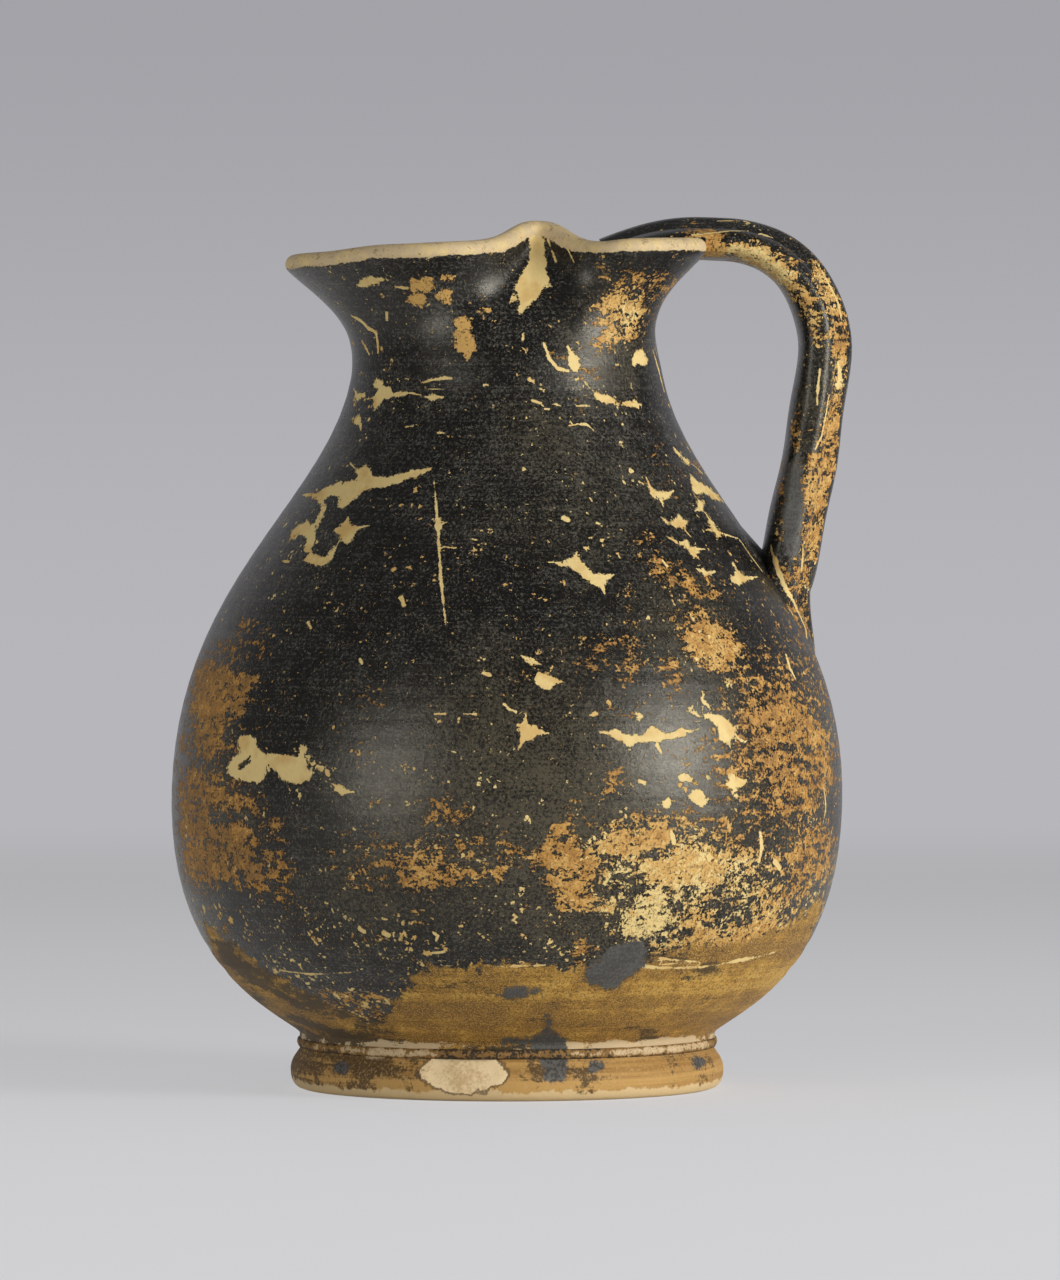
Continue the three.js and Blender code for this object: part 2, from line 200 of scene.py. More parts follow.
TAN_SHAPES = [
    [(408, 280), (414, 278), (418, 280), (424, 276), (431, 277), (433, 280), (435, 286),
     (431, 292), (423, 293), (419, 290), (414, 290), (411, 284)],
    [(441, 280), (443, 275), (448, 274), (454, 276), (453, 281), (445, 281)],
    [(435, 294), (440, 290), (445, 289), (451, 290), (452, 295), (450, 303), (445, 305),
     (441, 301), (437, 299)],
    [(407, 301), (410, 296), (415, 292), (421, 296), (427, 297), (428, 301), (421, 307),
     (414, 305)],
    [(452, 323), (454, 318), (460, 319), (465, 316), (471, 320), (471, 331), (475, 339),
     (476, 347), (472, 353), (470, 360), (466, 362), (464, 355), (457, 351), (454, 347),
     (457, 342), (453, 335), (458, 327)],
    [(477, 312), (493, 307), (484, 320), (484, 315)],
]
SLATE_SHAPES = [
    [(583, 980), (585, 973), (590, 964), (600, 958), (609, 950), (622, 944), (634, 936),
     (642, 942), (646, 950), (644, 966), (630, 975), (616, 989), (597, 987)],
    [(497, 996), (506, 989), (518, 985), (530, 990), (543, 989), (532, 994), (513, 1000)],
    [(546, 1015), (551, 1017), (552, 1030), (566, 1040), (569, 1055), (566, 1078), (555, 1083),
     (545, 1080), (541, 1060), (530, 1046), (504, 1043), (504, 1038), (530, 1038), (541, 1034),
     (546, 1026)],
    [(334, 1064), (341, 1060), (348, 1064), (349, 1071), (343, 1076), (335, 1073)],
    [(586, 1062), (595, 1059), (605, 1063), (602, 1071), (590, 1073)],
    [(690, 1057), (699, 1055), (706, 1060), (704, 1067), (694, 1069)],
]
# Rubbed areas: how far the slip is rubbed away, how pale the clay is, and the outline.
RUBBED_SHAPES = [
    (0.6, 0.6, [
        (596, 826), (654, 819), (697, 826), (748, 848), (798, 862), (834, 834), (838, 870),
        (820, 920), (784, 949), (726, 963), (654, 960), (647, 934), (611, 934), (582, 906),
        (560, 877)]),
    # The left side's patches below have paleness -0.15, which turns their clay to dark rust: partly
    # rusty stain, partly painted shade of the dim left side.
    (0.56, -0.15, [
        (193, 661), (229, 632), (258, 625), (244, 682), (229, 733), (222, 769), (287, 819),
        (290, 898), (222, 888), (190, 870), (175, 805), (179, 733)]),
    (0.7, -0.15, [
        (233, 620), (247, 615), (254, 628), (263, 632), (266, 652), (258, 655), (250, 640),
        (236, 640)]),
    (0.9, -0.15, [
        (188, 712), (196, 672), (213, 664), (229, 669), (238, 676), (252, 671), (255, 683),
        (247, 696), (244, 710), (236, 716), (225, 712), (227, 724), (222, 738), (221, 756),
        (209, 762), (196, 756)]),
    (0.9, -0.15, [
        (182, 774), (194, 768), (213, 777), (227, 790), (229, 797), (238, 795), (248, 804),
        (231, 811), (215, 807), (209, 816), (217, 825), (229, 820), (250, 825), (252, 836),
        (256, 843), (254, 852), (261, 869), (268, 882), (268, 891), (250, 891), (245, 875),
        (233, 880), (215, 885), (201, 889), (190, 882), (185, 859), (182, 830), (181, 802)]),
    (0.75, -0.15, [
        (266, 862), (275, 855), (287, 859), (293, 878), (289, 894), (284, 903), (275, 901),
        (270, 885)]),
    (0.45, 0, [
        (339, 703), (355, 692), (367, 678), (380, 690), (387, 704), (373, 709), (344, 708)]),
    (0.62, 0, [(445, 784), (456, 800), (467, 811), (456, 822), (426, 822), (423, 806)]),
    (0.8, 0.15, [
        (394, 873), (413, 864), (429, 855), (440, 868), (456, 868), (477, 864), (506, 870),
        (504, 881), (481, 880), (447, 886), (419, 888), (403, 886)]),
    (0.62, 0.05, [
        (344, 868), (360, 862), (392, 853), (393, 866), (371, 874), (366, 888), (346, 886)]),
    (0.85, 0.1, [
        (556, 827), (567, 827), (578, 842), (589, 856), (600, 863), (603, 878), (589, 885),
        (600, 900), (589, 905), (574, 912), (560, 907), (554, 892), (545, 880), (554, 869),
        (545, 863), (531, 858)]),
    (0.98, 0.15, [
        (605, 854), (609, 834), (621, 827), (638, 831), (652, 822), (667, 822), (674, 831),
        (665, 847), (647, 851), (634, 856), (618, 854)]),
    (0.96, 0.5, [
        (645, 876), (656, 856), (674, 849), (696, 838), (705, 849), (723, 854), (746, 856),
        (752, 863), (732, 867), (730, 880), (714, 889), (692, 887), (674, 887), (656, 882)]),
    (0.95, 0.95, [
        (630, 896), (652, 887), (664, 892), (666, 905), (672, 918), (661, 929), (647, 936),
        (640, 944), (622, 936), (616, 922), (625, 912), (640, 905)]),
    (0.86, 0.25, [
        (683, 938), (701, 927), (723, 932), (748, 925), (759, 916), (779, 912), (779, 930),
        (759, 943), (737, 948), (719, 954), (704, 948), (690, 944)]),
    (0.74, 0, [
        (786, 862), (792, 848), (804, 831), (821, 825), (835, 838), (833, 865), (821, 883),
        (808, 896), (786, 907), (773, 898), (788, 878)]),
    (0.7, 0.1, [(710, 816), (725, 816), (737, 829), (748, 840), (737, 849), (719, 838)]),
    (0.78, -0.02, [
        (745, 700), (760, 690), (782, 688), (800, 700), (818, 720), (833, 745), (835, 775),
        (825, 800), (812, 818), (795, 812), (780, 818), (765, 802), (768, 780), (755, 770),
        (748, 745), (742, 720)]),
    (0.97, 0.2, [
        (684, 634), (700, 625), (715, 622), (735, 632), (743, 645), (736, 664), (715, 670),
        (700, 662), (687, 652)]),
    (0.72, 0.1, [(617, 652), (630, 648), (641, 656), (640, 674), (630, 680), (619, 672)]),
    (0.7, 0.1, [(664, 660), (676, 658), (684, 668), (682, 690), (672, 695), (662, 684)]),
    (0.65, 0, [(574, 657), (590, 653), (606, 658), (604, 668), (588, 671), (576, 666)]),
    (0.8, 0, [(605, 770), (614, 765), (622, 770), (622, 788), (612, 793), (605, 788)]),
    (0.7, 0.15, [
        (640, 558), (655, 552), (672, 562), (690, 572), (697, 586), (684, 590), (664, 580),
        (648, 572)]),
    (0.72, 0, [(571, 945), (580, 936), (590, 945), (588, 962), (576, 966)]),
    (0.85, 0.5, [
        (592, 344), (600, 330), (598, 312), (606, 296), (618, 290), (630, 296), (642, 298),
        (645, 316), (637, 330), (628, 340), (616, 346), (602, 354)]),
    (0.62, 0.3, [
        (597, 268), (615, 276), (640, 270), (672, 276), (686, 284), (668, 292), (640, 288),
        (622, 296), (604, 290)]),
    (0.75, 0.35, [(264, 985), (280, 990), (300, 1012), (296, 1024), (278, 1008)]),
]
RUBBED_CLOUDS = [
    (269, 709, 12, 18, 0.36), (350, 737, 12, 18, 0.3), (384, 808, 28, 8, 0.36),
    (322, 808, 10, 8, 0.3), (374, 838, 16, 10, 0.46), (442, 845, 22, 8, 0.44),
    (246, 870, 24, 24, 0.5), (230, 655, 16, 30, 0.42), (222, 920, 16, 30, 0.34),
    (300, 925, 40, 34, 0.3), (400, 925, 60, 30, 0.3), (506, 862, 10, 20, 0.55),
    (585, 800, 40, 30, 0.36), (560, 925, 50, 26, 0.34), (625, 926, 12, 10, 0.6),
    (700, 905, 40, 24, 0.55), (760, 870, 30, 40, 0.52), (770, 830, 26, 30, 0.5),
    (735, 760, 20, 20, 0.4), (690, 608, 18, 18, 0.46), (632, 600, 10, 30, 0.42),
    (640, 540, 16, 20, 0.42), (658, 455, 20, 24, 0.36), (634, 520, 14, 14, 0.34),
    (560, 352, 20, 16, 0.42), (590, 372, 26, 12, 0.4), (420, 285, 30, 14, 0.3),
    (640, 700, 60, 30, 0.26), (805, 670, 22, 24, 0.42), (768, 660, 20, 26, 0.3),
    (775, 745, 80, 130, 0.62), (690, 865, 110, 62, 0.66), (214, 780, 48, 130, 0.5),
    (800, 650, 40, 60, 0.5), (345, 1008, 64, 24, 0.62), (590, 880, 60, 50, 0.5),
    (440, 860, 110, 34, 0.55), (618, 655, 44, 20, 0.62), (700, 608, 32, 42, 0.6),
    (640, 300, 40, 34, 0.45), (690, 470, 30, 40, 0.35), (330, 650, 50, 40, 0.16),
    (520, 700, 60, 50, 0.18),
]
# Olive ovals: partly slip worn thin, partly painted sheen. The largest, over the belly's middle and
# right, lie where the lights' broad sheen falls.
THIN_AND_SHEEN_CLOUDS = [
    (650, 800, 120, 120, 1), (780, 780, 70, 130, 0.8), (205, 790, 50, 130, 0.8),
    (440, 880, 120, 60, 0.8), (610, 330, 50, 60, 0.8), (560, 900, 120, 60, 0.8),
    (690, 620, 70, 80, 0.6), (530, 440, 60, 90, 0.3), (370, 760, 80, 80, 0.4),
    (820, 450, 30, 120, 0.6), (540, 770, 190, 140, 0.75), (560, 560, 120, 90, 0.4),
]
STROKES = [
    [(735, 734, 1.2), (740, 740, 1.4), (744, 743, 1.3), (748, 740, 0.8)],
    [(702, 691, 0.8), (704, 693, 1.6), (702, 698, 1.8), (704, 703, 1.7), (708, 705, 1.5),
     (710, 709, 0.7)],
    [(657, 745, 2), (661, 752, 1.6)],
    [(352, 316, 1.6), (361, 321, 2), (368, 328, 2.2), (376, 332, 2), (378, 352, 1.6)],
    [(362, 341, 1.5), (369, 354, 1.5)],
    [(396, 287, 2), (407, 288, 1.6)],
    [(387, 313, 1.6), (387, 319, 1.6)],
    [(421, 383, 0.8), (431, 380, 1.8), (445, 378, 1.8), (452, 378, 0.8)],
    [(411, 393, 0.9), (425, 396, 0.8)],
    [(405, 427, 1.2), (413, 426, 1)],
    [(438, 433, 1), (444, 433, 1)],
    [(484, 385, 1.2), (488, 385, 1.2)],
    [(533, 401, 1.5), (541, 403, 1.4)],
    [(545, 409, 1.2), (549, 409, 1)],
    [(523, 334, 1), (523, 341, 1.2)],
    [(544, 343, 1.2), (549, 358, 1.6), (557, 368, 1.8), (568, 371, 2)],
    [(653, 350, 1), (659, 371, 2.4), (664, 391, 1.4)],
    [(577, 406, 1), (589, 406, 1)],
    [(569, 426, 0.8), (579, 424, 1.2), (588, 425, 1.2), (594, 431, 0.8)],
    [(283, 561, 1.6), (289, 562, 1.2)],
    [(434, 481, 0.9), (436, 505, 1.2), (438, 526, 2.4), (439, 545, 1.1), (441, 579, 1.8),
     (443, 600, 1), (446, 625, 0.6)],
    [(438, 547, 0.9), (456, 548, 0.6)],
    [(438, 526, 1.8), (447, 522, 0.6)],
    [(401, 598, 2.6), (404, 605, 2)],
    [(308, 623, 2), (311, 628, 1.8)],
    [(472, 539, 1), (477, 540, 0.8)],
    [(564, 518, 3), (568, 520, 3)],
    [(590, 498, 1), (592, 501, 1)],
    [(597, 523, 1.1), (600, 524, 1)],
    [(618, 554, 1.4), (620, 557, 1.2)],
    [(623, 481, 1.2), (625, 484, 1.1)],
    [(603, 588, 2), (605, 594, 0.6)],
    [(692, 464, 0.7), (702, 473, 1.6)],
    [(740, 540, 1), (750, 555, 1.8), (762, 571, 0.8)],
    [(663, 561, 1.4), (667, 566, 1.6)],
    [(672, 600, 1.2), (675, 605, 1.2)],
    [(786, 655, 1.4), (790, 668, 2.6), (796, 680, 1.2)],
    [(484, 673, 1.6), (490, 675, 1.8)],
    [(504, 704, 1), (509, 709, 1.4), (516, 712, 1)],
    [(640, 781, 2), (645, 783, 2)],
    [(671, 831, 1.4), (674, 842, 2.8)],
    [(824, 788, 0.8), (826, 806, 1.8), (823, 824, 0.8)],
    [(327, 771, 2), (328, 775, 2)],
    [(360, 660, 1.6), (362, 663, 1.4)],
    [(435, 714, 1), (445, 714, 1)],
    [(464, 714, 0.8), (476, 714, 0.9)],
    [(447, 750, 0.8), (455, 752, 1.2)],
    [(360, 929, 3), (363, 931, 3)],
    [(384, 933, 3.2), (388, 935, 3.2)],
    [(401, 934, 1.4), (402, 938, 1.4)],
    [(433, 932, 0.8), (438, 936, 1.4), (436, 942, 0.8)],
    [(432, 953, 1), (444, 952, 1.6)],
    [(513, 920, 1.4), (516, 922, 1.2)],
    [(315, 942, 1.8), (317, 944, 1.6)],
    [(760, 832, 2), (762, 848, 2.6), (759, 862, 1.2)],
    [(775, 862, 3), (780, 868, 3)],
    [(514, 915, 1.6), (517, 917, 1.2)],
    [(556, 238, 1.6), (566, 246, 1), (574, 262, 0.8)],
    [(548, 240, 0.8), (556, 262, 0.9)],
    [(600, 972, 0.9), (640, 966, 2.2), (690, 968, 1.2), (740, 960, 2.4), (775, 952, 0.9)],
    [(660, 958, 1.6), (700, 962, 0.8)],
    [(440, 965, 0.8), (520, 966, 1.4), (545, 965, 0.8)],
    [(280, 970, 0.8), (310, 974, 1.4), (352, 972, 0.8)],
]
FOOT_CHIP = (462, 1073, 42, 21)
HANDLE_STROKES = [
    [(692, 235, 1), (720, 232, 1.4), (739, 231, 1.4), (761, 234, 1.2), (773, 238, 0.8)],
    [(718, 221, 0.8), (739, 221, 0.8)],
    [(817, 263, 0.9), (829, 284, 1.8), (838, 303, 1.6), (842, 322, 1)],
    [(838, 363, 1.8), (840, 376, 3), (838, 388, 2), (835, 384, 1)],
    [(820, 369, 0.8), (818, 388, 1.2), (817, 405, 0.8)],
    [(829, 395, 0.8), (822, 435, 1), (815, 450, 0.8)],
    [(771, 545, 1.2), (776, 563, 2.6), (786, 590, 2.4), (797, 610, 2.4), (806, 630, 2),
     (808, 648, 1)],
    [(803, 545, 1.4), (802, 566, 3.4), (806, 588, 1.4)],
]
HANDLE_RUBBED = [
    (0.95, 0.95, [
        (700, 240), (722, 242), (756, 246), (784, 262), (802, 284), (797, 296), (778, 284),
        (752, 264), (722, 256), (702, 258)]),
    (0.85, 0.75, [
        (818, 262), (832, 275), (846, 310), (850, 350), (843, 394), (834, 392), (832, 345),
        (826, 306), (812, 280)]),
    (0.7, 0.4, [(793, 284), (806, 282), (824, 320), (824, 352), (812, 340)]),
    (0.85, 0.15, [
        (829, 395), (838, 392), (850, 420), (850, 470), (840, 520), (828, 552), (808, 560),
        (803, 540), (805, 478), (815, 450), (822, 435)]),
    (0.95, 0.1, [(687, 232), (703, 229), (724, 238), (716, 255), (700, 253), (689, 246)]),
    (0.6, 0.3, [(790, 284), (803, 286), (814, 306), (812, 330), (802, 322)]),
    (0.8, 0.3, [
        (818, 262), (832, 275), (846, 310), (850, 350), (838, 352), (828, 310), (816, 285)]),
    (0.8, 0.2, [(800, 478), (822, 470), (832, 500), (826, 545), (806, 556), (796, 530)]),
    (0.62, 0.1, [(831, 322), (850, 318), (853, 358), (836, 357)]),
    (0.6, 0.1, [(791, 480), (805, 478), (805, 522), (793, 522)]),
    (0.7, 0.1, [(778, 566), (800, 556), (816, 580), (816, 640), (806, 640), (790, 606)]),
]
HANDLE_CLOUDS = [
    (796, 425, 6, 40, 0.62), (782, 500, 6, 50, 0.6), (740, 250, 50, 16, 0.4),
    (812, 300, 22, 40, 0.34), (826, 360, 16, 40, 0.36), (812, 420, 10, 60, 0.3),
]
HANDLE_SLATE = [
    [(786, 470), (800, 452), (804, 500), (800, 560), (786, 556), (782, 520)],
]
CLEAN_SLIP = [(385, 1040, 62, 30, 1), (640, 1037, 78, 30, 1)]
BARE_BAND = [
    (205, 925), (226, 938), (260, 965), (295, 988), (331, 1009), (362, 1022), (380, 1021),
    (389, 1002), (413, 984), (431, 972), (449, 966), (520, 964), (580, 968), (640, 958),
    (700, 950), (760, 938), (800, 915), (860, 880), (860, 1120), (205, 1120),
]
BODY_WEAR = {
    "strokes": STROKES, "shapes": CREAM_SHAPES, "holes": CREAM_HOLES, "tans": TAN_SHAPES,
    "rubbed": RUBBED_SHAPES, "clouds": RUBBED_CLOUDS, "slates": SLATE_SHAPES}
HANDLE_WEAR = {
    "strokes": HANDLE_STROKES, "shapes": [], "holes": [], "tans": [],
    "rubbed": HANDLE_RUBBED, "clouds": HANDLE_CLOUDS, "slates": HANDLE_SLATE}


def length(name, description, default):
    """A length in metres that the panel shows and the builders read."""
    return FloatProperty(
        name=name, description=description, default=default, unit="LENGTH", precision=5)


def colour(name, description, default):
    """A linear colour that the panel shows and the finishes read."""
    return FloatVectorProperty(
        name=name, description=description, subtype="COLOR", size=3, default=default, min=0, max=1)


def power(name, description, default):
    """A light's strength that the panel shows and the stage reads."""
    return FloatProperty(name=name, description=description, default=default, min=0)


class JugShape(bpy.types.PropertyGroup):
    """The driving sizes of the jug, in metres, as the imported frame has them."""

    belly_radius: length("Belly radius", "Radius at the widest point", BODY_BOX[1].y)
    belly_height: length("Belly height", "Height of the widest point above the table", 0.0693)
    waist_radius: length("Waist radius", "Radius where the body meets its foot", 0.0495)
    foot_height: length("Foot height", "Height of the joint between foot and body", 0.0116)
    neck_radius: length("Neck radius", "Radius at the narrowest point of the neck", 0.0364)
    neck_height: length("Neck height", "Height of the narrowest point of the neck", 0.1772)
    lip_radius: length("Lip radius", "Mean radius of the lip before it is pressed", 0.0476)
    lip_height: length("Lip height", "Height of the lip at the spout", 0.196)
    wall: length("Wall", "Thickness of the thrown wall", 0.005)
    lip_wall: length("Lip", "Thickness of the rounded lip", 0.0046)
    pinch_place: length("Pinch place", "How far behind the axis the mouth is pinched", 0.0074)
    pinch_depth: length("Pinch depth", "How far each side of the mouth is folded in", 0.023)
    pinch_width: length("Pinch width", "Half width of the fold", 0.012)
    peak_rise: length("Peak rise", "How far the fold lifts the lip in a sharp peak", 0.0036)
    swell_rise: length("Swell rise", "How far the lip swells up round the fold", 0.0028)
    handle_reach: length("Handle reach", "From the axis to the strap's middle line", 0.0759)


class JugFinish(bpy.types.PropertyGroup):
    """The colours of the jug, as linear values."""

    gloss: colour("Gloss", "The fired black slip", (0.0040, 0.0040, 0.0044))
    grain: colour("Grain", "The slip's fine paler grain", (0.115, 0.108, 0.090))
    # Olive of the thin slip, also used as painted sheen over the belly's middle.
    thin_and_sheen: colour("Thin gloss", "The slip where it is worn thin and olive", (0.088, 0.074, 0.047))
    cream: colour("Cream", "Clay under fresh flakes", (0.86, 0.645, 0.265))
    pale: colour("Pale", "Clay on rubbed edges", (0.66, 0.50, 0.29))
    orange: colour("Orange", "Clay under rubbed slip", (0.55, 0.27, 0.058))
    tan: colour("Tan", "Clay under half rubbed slip", (0.70, 0.42, 0.125))
    ochre: colour("Ochre", "The bare band above the foot", (0.50, 0.262, 0.036))
    slate: colour("Slate", "Spilled slip that fired grey", (0.118, 0.114, 0.104))
    slate_grain: colour("Slate grain", "Dark grain of the spills", (0.032, 0.031, 0.030))
    # Rust: slip stain, and in the left side's rubbed patches also painted shade.
    rust: colour("Rust", "Rubbed clay that slip still stains", (0.25, 0.135, 0.042))
    pores: colour("Pores", "Dark pores of rubbed clay", (0.075, 0.040, 0.016))
    lip_pores: colour("Lip pores", "Dark pores of the rubbed lip", (0.23, 0.13, 0.055))
    band_dark: colour("Band, dark", "Dark streaks of the bare band", (0.23, 0.115, 0.026))
    band_light: colour("Band, light", "Light streaks of the bare band", (0.68, 0.41, 0.09))
    band_pores: colour("Band, pores", "Pores of the bare band", (0.12, 0.062, 0.014))
    band_specks: colour("Band, specks", "Specks of the bare band", (0.74, 0.47, 0.14))
    band_runs: colour("Band, runs", "Slip that ran over the bare band", (0.035, 0.027, 0.016))
    foot: colour("Foot", "The foot's clay", (0.56, 0.33, 0.10))
    foot_streaks: colour("Foot, streaks", "Darker streaks of the foot", (0.36, 0.19, 0.048))
    foot_dark: colour("Foot, dark", "Thin rubbed slip on the foot", (0.085, 0.048, 0.019))
    foot_specks: colour("Foot, specks", "Specks of the foot", (0.60, 0.39, 0.16))
    foot_edge: colour("Foot, edge", "The worn resting edge", (0.74, 0.56, 0.30))
    chip: colour("Chip", "Clean clay in the foot's chip", (0.95, 0.74, 0.43))
    chip_clouds: colour("Chip, clouds", "Darker clouds in the chip", (0.56, 0.36, 0.15))
    crack: colour("Crack", "The dark line round the chip", (0.11, 0.06, 0.03))
    joint: colour("Joint", "Brown slip of the foot's joint", (0.24, 0.13, 0.036))
    joint_dark: colour("Joint, dark", "Black slip of the joint", (0.032, 0.025, 0.016))
    joint_specks: colour("Joint, specks", "Specks of the joint", (0.30, 0.165, 0.06))


class JugStage(bpy.types.PropertyGroup):
    """The floor, backdrop and lights."""

    floor: colour("Floor", "Colour of the floor", (0.80, 0.80, 0.81))
    near_glow: colour("Near floor", "Glow of the floor in front", (0.80, 0.80, 0.82))
    dip_glow: colour("Far floor", "Glow where the floor is darkest", (0.440, 0.440, 0.456))
    backdrop: colour("Backdrop", "Glow behind the jug, low down", (0.474, 0.470, 0.497))
    backdrop_top: colour("Backdrop top", "Glow behind the jug, high up", (0.365, 0.366, 0.392))
    right_light: power("Right light", "Power of the light at the right", 21.0)
    left_light: power("Left light", "Power of the light at the left", 5.0)
    sky: power("Sky", "Strength of the light from all round", 0.18)


def ramp(value, low, high):
    """A smooth climb from 0 to 1 between low and high: 3t^2 - 2t^3."""
    t = np.clip((value - low) / (high - low), 0, 1)
    return t * t * (3 - 2 * t)


def bell(u, power=2.0):
    """A bell of height 1 around 0: e to the minus |u|^power."""
    return np.exp(-(np.abs(u) ** power))


def bezier(points, count):
    """count points of the cubic curve with the given four control points."""
    t = np.linspace(0, 1, count)[:, None]
    a, b, c, d = (np.array(p, float) for p in points)
    return (1 - t) ** 3 * a + 3 * (1 - t) ** 2 * t * b + 3 * (1 - t) * t * t * c + t ** 3 * d


def eased(share, stations, values):
    """Values at stations along a share, with a smooth climb from each to the next."""
    found = np.full(len(share), float(values[0]))
    for low, high, start, end in zip(stations, stations[1:], values, values[1:]):
        found += (end - start) * ramp(share, low, high)
    return found


def spaced(points, stations):
    """The polyline's points at the given shares of its length."""
    step = np.linalg.norm(np.diff(points, axis=0), axis=1)
    length = np.concatenate([[0], np.cumsum(step)])
    at = np.asarray(stations) * length[-1]
    return np.stack([np.interp(at, length, points[:, k]) for k in range(points.shape[1])], axis=1)


def body_profile(shape, rows):
    """Radius and height up the outside: a short upright band over the joint, then three cubic
    curves, waist to belly, belly to neck and neck to lip, upright at the belly and the neck."""
    spring, belly = shape.foot_height + 0.0018, shape.belly_height
    neck, lip = shape.neck_height, shape.lip_height
    lower = bezier([
        (shape.waist_radius, spring), (shape.waist_radius + 0.0061, spring + 0.0053),
        (shape.belly_radius, belly - 0.744 * (belly - spring)), (shape.belly_radius, belly)], 200)
    upper = bezier([
        (shape.belly_radius, belly), (shape.belly_radius, belly + 0.503 * (neck - belly)),
        (shape.neck_radius, neck - 0.316 * (neck - belly)), (shape.neck_radius, neck)], 300)
    flare, climb = shape.lip_radius - shape.neck_radius, lip - neck
    throat = bezier([
        (shape.neck_radius, neck), (shape.neck_radius, neck + 0.42 * climb),
        (shape.lip_radius - 0.5 * flare, lip - 0.3 * climb), (shape.lip_radius, lip)], 120)
    band = np.array([(shape.waist_radius, shape.foot_height)])
    return spaced(np.concatenate([band, lower, upper[1:], throat[1:]]), np.linspace(0, 1, rows))


def pressed(shape, angle, radius, height):
    """Presses the round mouth into a trefoil. The nearer a point is to the lip, the more its side
    is folded in at the pinch, its front and back lobes drawn out, the middle of its back pressed
    in for the handle, and its edge lifted in a sharp peak on a broad swell."""
    opened = ramp(height, shape.neck_height - 0.008, shape.lip_height + 0.002)
    x, y = radius * np.cos(angle), radius * np.sin(angle)
    side = np.abs(np.sin(angle))
    drawn = 0.0034 - 0.009 * bell(y / 0.012)
    along = opened * (drawn * ramp(x, 0, shape.lip_radius) - 0.0044 * ramp(-x, 0, shape.lip_radius))
    fold = x - shape.pinch_place + 0.005 * (1 - opened)
    crease = shape.pinch_depth * opened * bell(fold / shape.pinch_width, 1.6)
    inwards = side * opened * (0.006 + crease)
    peak = shape.peak_rise * bell(fold / 0.005)
    swell = shape.swell_rise * bell(fold / np.where(fold < 0, 0.014, 0.0095))
    tilt = 0.0014 * (x / shape.lip_radius + 1) - 0.0011 * ramp(-x, 0.026, 0.040)
    lifted = height + opened * (peak + swell + tilt)
    return np.stack([x + along, y - np.sign(y) * inwards, lifted], axis=-1)


def thrown_relief(angle, height):
    """Small outward swells that the wheel and the fingers leave: slow waves round the body,
    fine rings up it and a few shallow turning grooves above the foot."""
    waves = 0.00020 * np.sin(2 * angle + 1.1) + 0.00010 * np.sin(5 * angle + 90 * height)
    rings = 0.000018 * np.sin(2 * np.pi * height / 0.0053 + 1.4 * np.sin(angle) + 60 * height)
    lower_groove = 0.00022 * bell((height - 0.0285) / 0.0011)
    upper_groove = 0.00014 * bell((height - 0.034) / 0.0009)
    return waves + rings - lower_groove - upper_groove


def normals_of(grid):
    """Outward unit normals of a grid of rings, from central differences along both ways."""
    around = np.roll(grid, -1, axis=1) - np.roll(grid, 1, axis=1)
    up = np.gradient(grid, axis=0)
    normal = np.cross(around, up)
    return normal / np.maximum(np.linalg.norm(normal, axis=2, keepdims=True), 1e-12)


def wall_grid(shape, angles, rows):
    """The pressed outer surface as a grid of points, one row a height, one column an angle."""
    profile = body_profile(shape, rows)
    angle, radius = np.meshgrid(angles, profile[:, 0])
    height = np.repeat(profile[:, 1:2], len(angles), axis=1)
    return pressed(shape, angle, radius + thrown_relief(angle, height), height)


def front_angles(columns, crowding):
    """Angles round the axis, crowded towards the side that the camera sees, at -90 degrees."""
    even = np.linspace(0, 2 * np.pi, columns, endpoint=False)
    return even - np.pi / 2 - crowding * np.sin(even)


def turned(radius, angle, height):
    """Points of the row frame from their radius, their angle round the axis and their height."""
    return np.stack([radius * np.cos(angle), radius * np.sin(angle), height], axis=-1)


def add_mesh(name, vertices, faces):
    """A smooth-shaded mesh object in the row frame, its origin at the frame's origin."""
    mesh = bpy.data.meshes.new(name)
    mesh.from_pydata(vertices.tolist(), [], faces)
    mesh.polygons.foreach_set("use_smooth", np.ones(len(mesh.polygons), bool))
    mesh.update()
    piece = bpy.data.objects.new(name, mesh)
    bpy.context.scene.collection.objects.link(piece)
    return piece


def ring_faces(rings, columns, closed_loop):
    """Quads between neighbouring rings; the last ring joins the first on a closed loop."""
    last = rings if closed_loop else rings - 1
    row, column = np.meshgrid(np.arange(last), np.arange(columns), indexing="ij")
    above = (row + 1) % rings
    beside = (column + 1) % columns
    quads = np.stack([
        row * columns + column, row * columns + beside,
        above * columns + beside, above * columns + column], axis=-1)
    return quads.reshape(-1, 4).tolist()


def pole_faces(first, columns, pole, flipped):
    """A fan of triangles from one ring to its pole."""
    column = np.arange(columns)
    beside = (column + 1) % columns
    centre = np.full(columns, pole)
    here, there = (beside, column) if flipped else (column, beside)
    return np.stack((first + here, first + there, centre), axis=-1).tolist()


def add_capped(name, grid):
    """A closed piece from a grid of rings whose two ends run to poles at their centres."""
    rings, columns = grid.shape[:2]
    start, end = grid[0].mean(axis=0), grid[-1].mean(axis=0)
    vertices = np.concatenate([grid.reshape(-1, 3), [start, end]])
    faces = ring_faces(rings, columns, False)
    faces += pole_faces(0, columns, rings * columns, True)
    faces += pole_faces((rings - 1) * columns, columns, rings * columns + 1, False)
    return add_mesh(name, vertices, faces)


def add_loop(name, grid):
    """A closed piece from a grid of rings whose last ring joins the first."""
    return add_mesh(name, grid.reshape(-1, 3), ring_faces(*grid.shape[:2], True))


